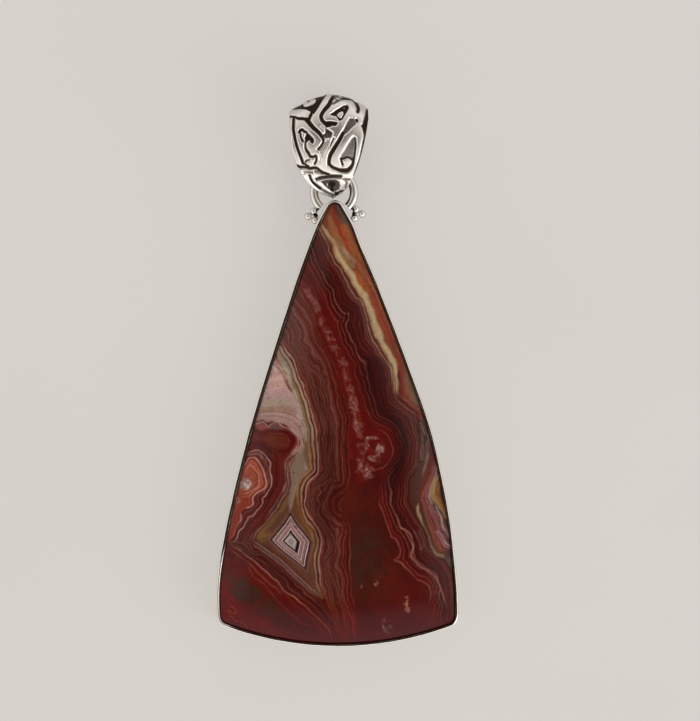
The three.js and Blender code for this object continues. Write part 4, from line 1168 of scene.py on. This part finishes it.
# %% [markdown]
# ## The loop and its granules
#
# A short length of round wire, bent to a C, straddles the apex, and its two ends are soldered to the bezel.
# Three silver balls hide each joint. Balls like these are melted from scraps of equal weight, so they come
# out alike, and they are laid in threes because three settle against each other. One wire follows one
# path, and one ball repeats on six points: both are work for Geometry Nodes.

# %% The wire along its arc
LOOP_CENTRE, LOOP_RADIUS, WIRE_RADIUS = (-0.44, 22.3), 2.5, 0.555
LOOP_HEIGHT = 2.9964
LOOP_START, LOOP_END = -47.0, 229.0
WIRE_STEPS, WIRE_SIDES = 97, 28


def node_group(name, sizes):
    """An empty Geometry Nodes tree with named inputs for its sizes, and the identifiers of those."""
    group = bpy.data.node_groups.new(name, "GeometryNodeTree")
    group.interface.new_socket("Geometry", in_out="INPUT", socket_type="NodeSocketGeometry")
    group.interface.new_socket("Geometry", in_out="OUTPUT", socket_type="NodeSocketGeometry")
    named = {}
    for label, kind in sizes.items():
        named[label] = group.interface.new_socket(label, in_out="INPUT", socket_type=kind).identifier
    return group, named


def grown(start, group, values, name):
    """The plain mesh that a tree makes from a start object, with the start object removed."""
    modifier = start.modifiers.new(name, "NODES")
    modifier.node_group = group
    for identifier, value in values.items():
        modifier[identifier] = value
    graph = bpy.context.evaluated_depsgraph_get()
    mesh = bpy.data.meshes.new_from_object(start.evaluated_get(graph))
    piece = bpy.data.objects.new(name, mesh)
    scene.collection.objects.link(piece)
    bpy.data.objects.remove(start)
    return piece


group, size_of = node_group("wire_on_path",
                            {"Wire radius": "NodeSocketFloat", "Finish": "NodeSocketMaterial"})
came = add(group, "NodeGroupInput")
ring = add(group, "GeometryNodeCurvePrimitiveCircle",
           {"Resolution": WIRE_SIDES, "Radius": came.outputs["Wire radius"]})
tube = add(group, "GeometryNodeCurveToMesh", {"Curve": came.outputs["Geometry"],
                                              "Profile Curve": ring.outputs[0], "Fill Caps": True})
round_off = add(group, "GeometryNodeSetShadeSmooth", {"Geometry": tube.outputs[0]})
real = add(group, "GeometryNodeRealizeInstances", {"Geometry": round_off.outputs[0]})
done = add(group, "GeometryNodeSetMaterial",
           {"Geometry": real.outputs[0], "Material": came.outputs["Finish"]})
add(group, "NodeGroupOutput", {0: done.outputs[0]})

curve = bpy.data.curves.new("loop_path", "CURVE")
curve.dimensions = "3D"
spline = curve.splines.new("POLY")
turn = np.radians(np.linspace(LOOP_START, LOOP_END, WIRE_STEPS))
spline.points.add(len(turn) - 1)
for point, angle in zip(spline.points, turn):
    point.co = ((LOOP_CENTRE[0] + LOOP_RADIUS * math.cos(angle)) * MM,
                (LOOP_CENTRE[1] + LOOP_RADIUS * math.sin(angle)) * MM, LOOP_HEIGHT * MM, 1)
path = bpy.data.objects.new("loop_path", curve)
scene.collection.objects.link(path)
wire = grown(path, group, {size_of["Wire radius"]: WIRE_RADIUS * MM, size_of["Finish"]: polished_wire},
             "loop_wire")
print("wire triangles", sum(len(p.vertices) - 2 for p in wire.data.polygons))

# %% Painted shade round the soldered joints
JOINTS = [(-2.7, 19.45), (-2.45, 20.0), (2.02, 19.66), (1.9, 20.1)]
JOINT_DARK, JOINT_SHADE_END, SHADE_LUMP = 0.05, 0.6, 0.22


def blackened(piece):
    """How much bright metal shows at each point: shade is painted dark round the soldered joints."""
    at = np.array([v.co for v in piece.data.vertices]) / MM
    gap = np.min([np.hypot(at[:, 0] - x, at[:, 1] - y) for x, y in JOINTS], 0)
    return ease(JOINT_DARK, JOINT_SHADE_END, gap * (1 + 0.5 * grain(at[:, 0], at[:, 1], SHADE_LUMP, 8)))


# On the wire, the stored number is painted shade where the wire meets the bezel and the granules.
give(wire, "clean", blackened(wire))
print("clean share of the wire", round(float(blackened(wire).mean()), 2))

# %% The granules and their solder
GRANULE_RADIUS = 0.475
GRANULES = {"left_outer": (-3.7, 19.3), "left_upper": (-2.98, 19.95), "left_lower": (-2.83, 18.81),
            "right_outer": (3.06, 19.6), "right_upper": (2.3, 20.19), "right_lower": (2.14, 19.1)}
# Small solder balls in the gaps by the wall, painted dark as the shade there.
SHADED_SOLDER = {"left_web": (-3.12, 19.35, 0.26), "left_wall": (-2.72, 19.35, 0.3), "right_web": (2.5, 19.63, 0.26),
          "right_wall": (2.1, 19.62, 0.3)}

group, size_of = node_group("balls_on_points",
                            {"Ball radius": "NodeSocketFloat", "Finish": "NodeSocketMaterial"})
came = add(group, "NodeGroupInput")
ball = add(group, "GeometryNodeMeshIcoSphere", {"Radius": came.outputs["Ball radius"], "Subdivisions": 5})
scale = add(group, "GeometryNodeInputNamedAttribute", {"Name": "size"}, data_type="FLOAT")
placed = add(group, "GeometryNodeInstanceOnPoints", {"Points": came.outputs["Geometry"],
                                                     "Instance": ball.outputs[0], "Scale": scale.outputs[0]})
real = add(group, "GeometryNodeRealizeInstances", {"Geometry": placed.outputs[0]})
soft = add(group, "GeometryNodeSetShadeSmooth", {"Geometry": real.outputs[0]})
done = add(group, "GeometryNodeSetMaterial",
           {"Geometry": soft.outputs[0], "Material": came.outputs["Finish"]})
add(group, "NodeGroupOutput", {0: done.outputs[0]})

spots = [(*at, LOOP_HEIGHT) for at in GRANULES.values()]
spots += [(x, y, LOOP_HEIGHT) for x, y, _ in SHADED_SOLDER.values()]
sizes = [1.0] * len(GRANULES) + [r / GRANULE_RADIUS for _, _, r in SHADED_SOLDER.values()]
seeds = mesh_of("granule_points", spots, [])
give(seeds, "size", sizes)
granules = grown(seeds, group,
                 {size_of["Ball radius"]: GRANULE_RADIUS * MM, size_of["Finish"]: polished_wire},
                 "granules_six")
# The granules and solder balls are painted dark as shade where they touch each other and the wall.
give(granules, "clean", blackened(granules))
print("granule triangles", len(granules.data.polygons))

# %% [markdown]
# ## The bail
#
# The bail is the wide band that the chain runs through. It is cast hollow in silver, its scrolls are raised,
# and the whole is dipped in liver of sulphur, which turns silver nearly black. Polishing then takes the dark
# off everything that stands up and leaves it in the hollows. So one height field does two jobs: it lifts the
# mesh's points, and it tells the material where the patina stays.

# %% The bail's form, by the same rule as the CAD solid
HINGE = (-0.56, 23.55, LOOP_HEIGHT)
HINGE_PIXEL = (333.0, 182.0)
BAIL_CENTRE, BAIL_HALF_LENGTH, BAIL_HALF_DEPTH = 4.63, 6.43, 3.7
BAIL_WALL, BAIL_TIP_WALL = 0.65, 0.95
TILT, LEAN = math.radians(16), math.radians(2)
CROWN_TOP, CROWN_FACE, CROWN_TIP = 2.1, 0.3, 0.15
WIDEST_AT, TIP_AT, TIP_HALF_WIDTH = 7.75, -1.81, 0.42
# Each side's half width where it is widest, and the two powers by which it narrows to the tip
LEFT_WIDTH, RIGHT_WIDTH = (5.1, 3, 0.57), (4.68, 1.2, 0.45)
FRONT, BACK, ACROSS = 320, 150, 150
RELIEF, LIFT = 0.23, 0.23


def half_width(height, across):
    """How far the bail reaches to the left or right of its middle line, at a height over the hinge."""
    fall = np.clip((WIDEST_AT - height) / (WIDEST_AT - TIP_AT), 0, 1)
    widths = [np.maximum(h * (1 - fall ** power) ** root, TIP_HALF_WIDTH)
              for h, power, root in (LEFT_WIDTH, RIGHT_WIDTH)]
    return np.where(across < 0, *widths)


def bail_surface(around, across, lift):
    """Points of the bail in its own frame: x across, y along from the hinge, z out of its front."""
    c, s = np.cos(around), np.sin(around)
    y, z = BAIL_CENTRE + BAIL_HALF_LENGTH * c, BAIL_HALF_DEPTH * s
    normal = np.stack([c / BAIL_HALF_LENGTH, s / BAIL_HALF_DEPTH])
    normal /= np.hypot(*normal)
    height = y * math.cos(TILT) - np.abs(z) * math.sin(TILT)
    crown = CROWN_FACE * s ** 2 + np.where(c > 0, CROWN_TOP, CROWN_TIP) * c ** 2
    out = lift - crown * across ** 2
    return np.stack([half_width(height, across) * across, y + normal[0] * out, z + normal[1] * out], -1)


def hung(points):
    """Bail points as the bail lies at rest: tilted about the hinge and leaning a little to the left."""
    x, y, z = points[..., 0], points[..., 1], points[..., 2]
    y, z = y * math.cos(TILT) - z * math.sin(TILT), y * math.sin(TILT) + z * math.cos(TILT)
    x, y = x * math.cos(LEAN) - y * math.sin(LEAN), x * math.sin(LEAN) + y * math.cos(LEAN)
    return np.stack([x + HINGE[0], y + HINGE[1], z + HINGE[2]], -1)


angles = np.concatenate([np.arange(FRONT) / FRONT, 1 + np.arange(BACK) / BACK]) * math.pi
turn, side = np.meshgrid(angles, np.linspace(-1, 1, ACROSS + 1), indexing="ij")
bare = bail_surface(turn, side, 0 * side)
seen = bare.copy()
seen[..., 2] = np.abs(seen[..., 2])
seen = hung(seen)
bail_px = HINGE_PIXEL[0] + (seen[..., 0] - HINGE[0]) * PIXELS_PER_MM
bail_py = HINGE_PIXEL[1] - (seen[..., 1] - HINGE[1]) * PIXELS_PER_MM
print("bail seen from", bail_px.min().round(), bail_py.min().round(), "to", bail_px.max().round(),
      bail_py.max().round())

# %% [markdown]
# ## The bail's scrolls
#
# The scrolls are broad filed bands with narrow channels between them, so the channels are what is written
# down: paths with a width, and hollows with an outline, read off the photograph. Inside the hollows lie
# small balls, leaves and chips. Every form is a distance, and one short slope rounds every edge. The same
# relief is mirrored onto the back.

# %% Name the channels
# name: (half widths in pixels, level of the bottom, path in pixels of the photograph)
CHANNELS = {
    "left_rim": ((1.0, 1.0, 0.95, 1.0, 1.0, 0.9, 0.9, 1.0, 1.0), 0.0, [
        (294, 121), (293.9, 127), (293.9, 132), (294.8, 137), (295.7, 142), (297, 147), (298.5, 152),
        (300.5, 157), (302, 161), (303.3, 164.5)]),
    "diagonal": ((2.2, 1.9, 1.8, 1.6, 1.5, 1.0, 0.6, 0.5, 0.5), 0.0,
                 [(307, 122), (311, 127), (314, 130.5), (317, 133), (320, 136), (322, 139), (323.5, 141.5),
                  (323.2, 145), (320.5, 149), (318.2, 151.5)]),
    "shoulder_end": ((1.0, 1.1, 1.0), 0.0, [(313, 113), (311.5, 116.5), (310, 120), (309.4, 122.5)]),
    "under_shoulder": ((0.7, 0.8, 1.2, 1.5), 0.0, [(290.5, 118.6), (294, 118.8), (299, 120.6), (304, 121),
                                                  (309, 122.6)]),
    "round_curl": ((0.9, 1.6, 2.0, 1.6, 1.6, 1.5, 1.5, 2.0, 1.7, 0.9), 0.0, [
        (333.5, 98), (331, 103), (328.5, 108), (325, 112), (322.3, 116), (321.3, 119), (322.3, 122.5),
        (325, 125.5), (328, 127), (332, 126), (336.5, 125.8)]),
    "over_curl": ((0.9, 0.8, 0.9, 1.1, 1.4, 1.4, 1.2), 0.0, [
        (343, 101), (347, 101.2), (352, 101.8), (355, 104.3), (357.3, 108), (358.3, 111), (357.8, 114)]),
    "brown_end": ((1.4, 1.5, 1.7, 1.8, 1.8, 1.6, 1.4, 1.3), 0.0, [
        (343, 135.5), (341, 139.5), (338.5, 144), (336.5, 147), (334, 151), (331.5, 155), (330, 158.5),
        (329.2, 162), (329, 165.5)]),
    "under_right_loop": ((1.1, 1.0, 1.1, 1.6, 1.8, 1.6, 1.0, 0.9), 0.02, [
        (329, 165.5), (332.5, 168.6), (336, 170), (340, 171.4), (344, 171.8), (348, 171.2), (351, 168.5),
        (352.8, 165), (353.4, 160)]),
    "right_edge": ((0.9, 0.9, 1.2, 1.2, 0.8, 0.6, 0.5, 0.5, 0.5, 0.5), 0.1, [
        (366.9, 112), (366.9, 118), (365.4, 123), (364.6, 128), (365, 134), (364.6, 139), (363.2, 145),
        (362, 151), (360.2, 159), (357, 168.5), (354.6, 176)]),
    "lower_bar": ((0.8, 0.9, 0.9, 0.9, 0.9, 0.9, 0.8), 0.1, [
        (297.8, 167), (301, 168.3), (306, 168.3), (310, 169.6), (316, 169.1), (320, 171.8), (323.5, 173.8),
        (329, 175.6)]),
    "oval_under": ((0.7, 0.8), 0.15, [(304.8, 165), (306.5, 166.5), (308.8, 168.2)]),
    "left_crook": ((0.6, 0.8, 1.0, 1.4, 1.5, 1.0), 0.2, [
        (305.9, 144), (305.7, 147), (306, 150), (307, 152.5), (308.8, 155), (310.2, 158)]),
    "hook_line": ((1.0, 0.7, 0.7, 0.8, 0.6), 0.12, [
        (310.3, 158), (313.5, 158.7), (316, 157.4), (316.6, 160), (316.2, 163), (315, 165.2)]),
    "oval_top": ((0.8, 0.6, 0.4), 0.25, [(306, 163.5), (307.3, 162), (310, 161.3)]),
    "left_arc": ((1.2, 1.2, 1.0, 0.8), 0.05, [(299.8, 134.5), (300.6, 132.7), (302.6, 132), (304.6, 133.6),
                                             (307, 134.6)]),
    "left_slit": ((0.7, 0.6, 1.1), 0.15, [(301, 136), (301.2, 139), (303.2, 143.3)]),
    "band_slit": ((0.7, 0.7, 0.4), 0.25, [(333.8, 140.8), (332.2, 144), (330.3, 148)]),
    "curl_comma": ((0.7, 0.6, 0.7), 0.1, [(341.2, 160.5), (341.6, 163), (342.6, 166)]),
    "curl_brow": ((0.8, 0.8, 0.7, 0.8), 0.05, [(341, 160.4), (344, 160), (346.3, 158.8), (349.5, 159.4),
                                              (352, 161)]),
    "loop_side": ((0.7, 1.0, 1.0, 1.0), 0.2, [(354.6, 140), (355.4, 146), (354.8, 153), (353.6, 161)]),
    "shoulder_slit": ((0.5, 0.5), 0.45, [(304.5, 173.5), (308, 172.5), (313, 173)]),
    "bar_slit": ((0.6, 0.8, 0.7), 0.35, [(315, 171.6), (319, 172.8), (322, 174.4)]),
    "tip_arch": ((0.8, 1.3, 1.5, 1.5, 1.3, 1.1), 0.2, [
        (316.5, 180), (320.5, 178.8), (325, 178), (330, 177.4), (335, 177.2), (341, 177.2)]),
    "tip_left": ((0.9, 0.9, 1.1, 1.0), 0.15, [(309.8, 176.5), (311, 180), (313.4, 183.4), (317.5, 186.8),
                                             (320.5, 188.8)]),
    "tip_low": ((0.6, 0.9, 0.7), 0.4, [(320.5, 189), (326, 191.8), (333, 194.2)]),
    "tip_right": ((0.7, 0.8, 0.7), 0.25, [(336.5, 192.8), (341, 191.2), (346.5, 190.8)]),
    "tip_cheek": ((0.7, 0.8, 0.5), 0.4, [(343.5, 180.2), (346.5, 183), (345.3, 188.5)]),
    "tip_seam": ((0.5, 0.5), 0.35, [(343.5, 180), (349.5, 180.3)]),
    "leaf_hook": ((0.5, 0.45, 0.5), 0.15, [(308.3, 103.7), (310.5, 101.5), (314, 100.4)]),
}
print("channels", len(CHANNELS))

# %% Name the hollows and what lies in them
# name: (level of the bottom, outline in pixels of the photograph)
HOLLOWS = {
    "top_left": (0.0, [(293.5, 111.3), (297, 109.2), (300, 107.2), (303, 104.4), (306, 101.3), (311, 99.6),
                       (317, 99.3), (322, 97.6), (327.5, 95), (325.4, 98.4), (322, 103), (318.5, 109),
                       (316, 113), (313.8, 116), (311.2, 113.8), (307, 111.2), (300, 110.7)]),
    "horn_ground": (0.36, [(334.8, 96.2), (340, 96.6), (344, 98.8), (345.4, 101.2), (341, 102.6),
                           (338, 104.2), (335, 106), (331, 107.5), (328, 109), (329, 106), (331.5, 101)]),
    "curl_floor": (0.0, [(324.5, 124.6), (331, 124.2), (336.6, 125.2), (336, 127.6), (331.5, 127.6),
                         (329.5, 129.2), (326, 129.4), (326.3, 126.5)]),
    "curl_leaf": (0.0, [(330.8, 116.9), (333.5, 115.4), (337, 112.7), (341, 110.3), (344, 108.5),
                        (346.8, 107.9), (348.3, 109.5), (347.3, 112.5), (345, 116), (342, 121.6),
                        (339.6, 122.6), (338.3, 120.6), (336.8, 118.4), (333.5, 117.7)]),
    "dark_patch": (0.3, [(325.6, 131), (327.2, 131.6), (331, 134), (332.6, 135.6), (331, 139.6), (326, 140.2),
                         (322.4, 138), (325.4, 136), (326, 133)]),
    "brown_recess": (0.34, [(350, 121), (353.5, 121.2), (354.8, 124), (355.8, 126), (352, 129.6),
                            (350, 131.8), (347, 134.8), (344.5, 136.8), (341.6, 137.5), (342.5, 134.4),
                            (345, 130), (347.5, 125)]),
    "right_leaf": (0.42, [(354, 138.8), (356.2, 140.5), (356.3, 146), (355.4, 152), (354.5, 158),
                          (353.8, 161), (351, 160), (348, 158.6), (345, 158.3), (342.5, 160.5),
                          (340.4, 159.6), (341.5, 157), (344, 153.5), (346.5, 149), (349, 145),
                          (351.5, 141)]),
    "left_hook": (0.02, [(305.8, 138), (307.6, 135.4), (310, 137.6), (312.8, 140.4), (314, 143),
                         (312.9, 145.4), (311.4, 144.6), (310.9, 142.4), (309, 142), (307.3, 143.6),
                         (305.9, 144.4)]),
    "edge_wedge": (0.12, [(366, 112), (367.8, 112), (368, 120), (367, 127), (366, 135), (365.4, 141),
                          (364.3, 141), (364, 136), (362.8, 131), (361.4, 127.6), (362.9, 126.5),
                          (364.2, 121.5), (365.3, 118)]),
    "right_notch": (0.1, [(355.6, 122), (356.6, 121.2), (357.8, 123), (357.2, 124.6), (355.8, 124)]),
    "arch_mouth": (0.28, [(321.5, 182.6), (326, 181), (331, 180.5), (335.5, 180.8), (338.6, 183),
                          (339.4, 186), (338.5, 189.4), (336.6, 190), (335.4, 191), (333, 192),
                          (331, 190.8), (328, 188.6), (325, 186.5)]),
    "tip_corner": (0.1, [(334.8, 192.4), (338.8, 191.8), (339, 195), (335, 196)]),
}
# name: (top, outline): what stands in a hollow
RAISED = {
    "leaf": (1.0, [(303.2, 106.5), (303.8, 104.3), (306, 102.4), (309, 101.2), (312, 101.1), (315, 101.2),
                   (316.6, 102.6), (315.6, 105), (313, 107.3), (309.5, 108.6), (306, 109.3), (304, 108.8)]),
    "curl_ball": (1.1, [(336.8, 117.6), (338.8, 115.1), (341.5, 113.8), (343.8, 114.5), (343.6, 117.5),
                        (341.8, 120.9), (340, 121.3), (338, 119.6)]),
    "curl_seed": (0.55, [(342.8, 110.6), (344.5, 109.6), (345.2, 110.8), (343.8, 112)]),
    "chip": (0.95,
             [(326.6, 130.4), (328.5, 129), (331.5, 130), (335.6, 132.4), (333.5, 134.4), (330, 132.9)]),
    "chip_small": (0.55, [(331.8, 128.3), (334.5, 127.7), (336, 128.6), (334, 129.7)]),
    "horn_low": (0.95, [(333.6, 102.4), (335.8, 101.4), (336, 103.4), (334.4, 104.2), (332.9, 105.8),
                        (332, 104.8)]),
    "horn_arc": (0.9, [(335.2, 100.9), (337.5, 99.8), (339.9, 101), (339.9, 102.7), (338.2, 102.2),
                       (336.2, 101.9)]),
    "horn_rim": (0.85,
                 [(337.6, 98.5), (340.4, 98), (343.2, 100.2), (342.8, 101.4), (341, 100.2), (339, 99.4)]),
    "left_kernel": (0.82, [(301.9, 136), (303.4, 134), (305.2, 135.4), (306.8, 136.2), (305.6, 139.5),
                           (305.6, 143), (304.4, 142), (302.2, 140)]),
    "left_ball": (1.12, [(306.8, 147), (307.8, 143.6), (310, 142.3), (312, 145.5), (313.6, 146), (312.6, 149),
                         (310.6, 151.6), (309.3, 152), (307.4, 149.6)]),
    "mouth_thread": (0.8, [(321.8, 183.2), (325, 186.8), (328.2, 189.6), (331.6, 192.8), (330.8, 193.6),
                           (326.6, 190), (323, 186)]),
    "mouth_pearl": (0.6, [(326, 184.2), (328, 183.4), (328.4, 186.4), (327, 187.8)]),
}
HOLES = {"tip_hole": ((332, 184.7), (3.2, 2.6), -0.9), "tip_drip": ((332, 188.6), (1.3, 2.4), -0.6)}
# Fine cuts side by side: (level, outline, direction across the cuts in pixels)
HATCHED = {
    "middle": (0.6, [(319, 152.4), (321.5, 148.8), (323.9, 144.6), (327, 142), (331, 140.4), (330, 145),
                      (327.5, 150), (325, 155), (322.6, 158.4), (321.2, 157), (320, 155)], (0.85, 0.52)),
    "hook": (0.66, [(318.4, 156), (320, 156.4), (321.4, 161), (320.6, 164), (319.4, 162)], (0.95, -0.3)),
    "angle_end": (0.88, [(319, 128.4), (322.5, 127.6), (325.8, 130.8), (325.4, 133), (322.6, 131.6)],
                  (0.7, 0.7)),
    "right_leaf": (0.72, [(348.5, 147), (352.5, 142.5), (354, 145), (353.6, 151), (352.4, 157),
                          (347.5, 157.4), (345.5, 155.5), (346.5, 151)], (0.5, 0.86)),
}
print("hollows", len(HOLLOWS), "raised", len(RAISED), "holes", len(HOLES), "hatched", len(HATCHED))

# %% One height field from all of them
# In pixels: the slope of an edge, the round of what is raised, the fine cuts, and where the wear begins
SLOPE_FROM, SLOPE_TO = -0.35, 1.7
ROUND_REACH, CREST_REACH = 1.7, 2.2
CUT_SPACING, CUT_DEPTH = 1.5, 0.3
WORN_REACH, WORN_EDGE = 1.6, 0.78
THIN = 0.78
FAR = 9.0


def outside(spots, outline):
    """Distance from each spot to a closed outline, negative inside it."""
    ring = np.array([*outline, outline[0]], float)
    return np.where(within(*spots.T, ring), -1, 1) * gap_to(spots, ring)[0]


def height_field(x, y, behind):
    """The relief at pixels of the photograph, as a share of the full relief.

    `behind` is how far a point lies over the crest, where what stands in the hollows soon ends.
    """
    spots, behind = np.stack([np.ravel(x), np.ravel(y)], 1), np.ravel(behind)
    field, clear = np.ones(len(spots)), np.full(len(spots), FAR)
    for level, outline in HOLLOWS.values():
        beyond = outside(spots, outline)
        field = np.minimum(field, level + (1 - level) * ease(SLOPE_FROM, SLOPE_TO, beyond))
        clear = np.minimum(clear, np.maximum(beyond, 0))
    for level, outline, across in HATCHED.values():
        inside = 1 - ease(-0.6, 0.3, outside(spots, outline))
        cut = 0.5 + 0.5 * np.cos(spots @ np.array(across) * 2 * math.pi / CUT_SPACING)
        field = field + (np.minimum(field, level - CUT_DEPTH * cut) - field) * inside
    for top, outline in RAISED.values():
        depth = -outside(spots, outline) - CREST_REACH * behind
        dome = top * np.sqrt(np.clip(1 - (1 - np.clip(depth / ROUND_REACH, 0, 1)) ** 2, 0, 1))
        field = np.where(depth > 0, np.maximum(field, dome), field)
        clear = np.where(depth > 0, FAR, clear)
    for halves, level, points in CHANNELS.values():
        gap, where = gap_to(spots, flow(points, 4))
        beyond = gap - THIN * np.interp(where, np.linspace(0, 1, len(halves)), halves)
        field = np.minimum(field, level + (1 - level) * ease(SLOPE_FROM, SLOPE_TO, beyond))
        clear = np.minimum(clear, np.maximum(beyond, 0))
    field = field * (WORN_EDGE + (1 - WORN_EDGE) * (1 - np.exp(-clear / WORN_REACH)))
    for (cx, cy), (rx, ry), low in HOLES.values():
        r = np.hypot((spots[:, 0] - cx) / rx, (spots[:, 1] - cy) / ry)
        field = field + (low - field) * (1 - ease(0.6, 1.1, r))
    return field.reshape(np.shape(x))


over_crest = np.where(turn > math.pi, np.clip(bail_py - bail_py[0], 0, FAR), 0)
relief = height_field(bail_px, bail_py, over_crest)
print("raised share", round(float((relief > 0.5).mean()), 2))

# %% Build the bail, with a rounded rim and a plain inside
RIM_FROM, RIM_ROUND = 0.985, 0.4
INNER_ACROSS, INSIDE_CLEAN = 20, 0.42
skin_lift = RELIEF * (relief - 1) + LIFT
skin_lift = np.where(np.abs(side) > RIM_FROM, np.minimum(skin_lift, LIFT - RELIEF * (1 - RIM_ROUND)),
                     skin_lift)
outer = bail_surface(turn, side, skin_lift)
turn_in, side_in = np.meshgrid(turn[:, 0], np.linspace(1, -1, INNER_ACROSS + 1), indexing="ij")
wall = BAIL_WALL + (BAIL_TIP_WALL - BAIL_WALL) * np.maximum(-np.cos(turn_in), 0) ** 4
inner = bail_surface(turn_in, side_in * RIM_FROM, -wall)
rings = np.concatenate([outer, inner], 1)
bail_points, bail_faces = swept(hung(rings)[::-1])
bail = mesh_of("bail_scrolled", bail_points, bail_faces, cast_silver)
give(bail, "height", np.concatenate([relief, np.full(inner.shape[:2], INSIDE_CLEAN)], 1)[::-1].ravel())
print("bail triangles", len(bail_faces) * 2)

# %% [markdown]
# ## On the CAD's bodies
#
# A dressed piece is of use only where its solid is. Each one rides on the body that carries its solid, so the
# bail still swings on the loop, and the CAD solids that it stands for are hidden.

# %% Hand every piece to its body
for piece, body, finish, nodes in [
    (stone, "pendant", "agate", ["stone"]),
    (bezel, "pendant", "bright_silver", ["bezel"]),
    (plate, "pendant", "plate_silver", ["back_plate"]),
    (wire, "pendant", "bright_silver", ["hanging_loop"]),
    (granules, "pendant", "bright_silver", [f"granule_{name}" for name in GRANULES]),
    (bail, "bail", "scroll_silver", ["bail"]),
]:
    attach(piece, body)
    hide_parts(*nodes)
    print(piece.name, "rides on", body, "and stands for", len(nodes))

# %% The two boxes, and how far the visual one reaches past the CAD's
own_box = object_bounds()
sizes = {"cad": [list(corner) for corner in cad_box], "visual": [list(corner) for corner in own_box]}
grow = [round((own_box[1][i] - cad_box[1][i]) / MM, 3) for i in range(3)]
print("visual box past the CAD's, mm", [round((cad_box[0][i] - own_box[0][i]) / MM, 3) for i in range(3)],
      grow)
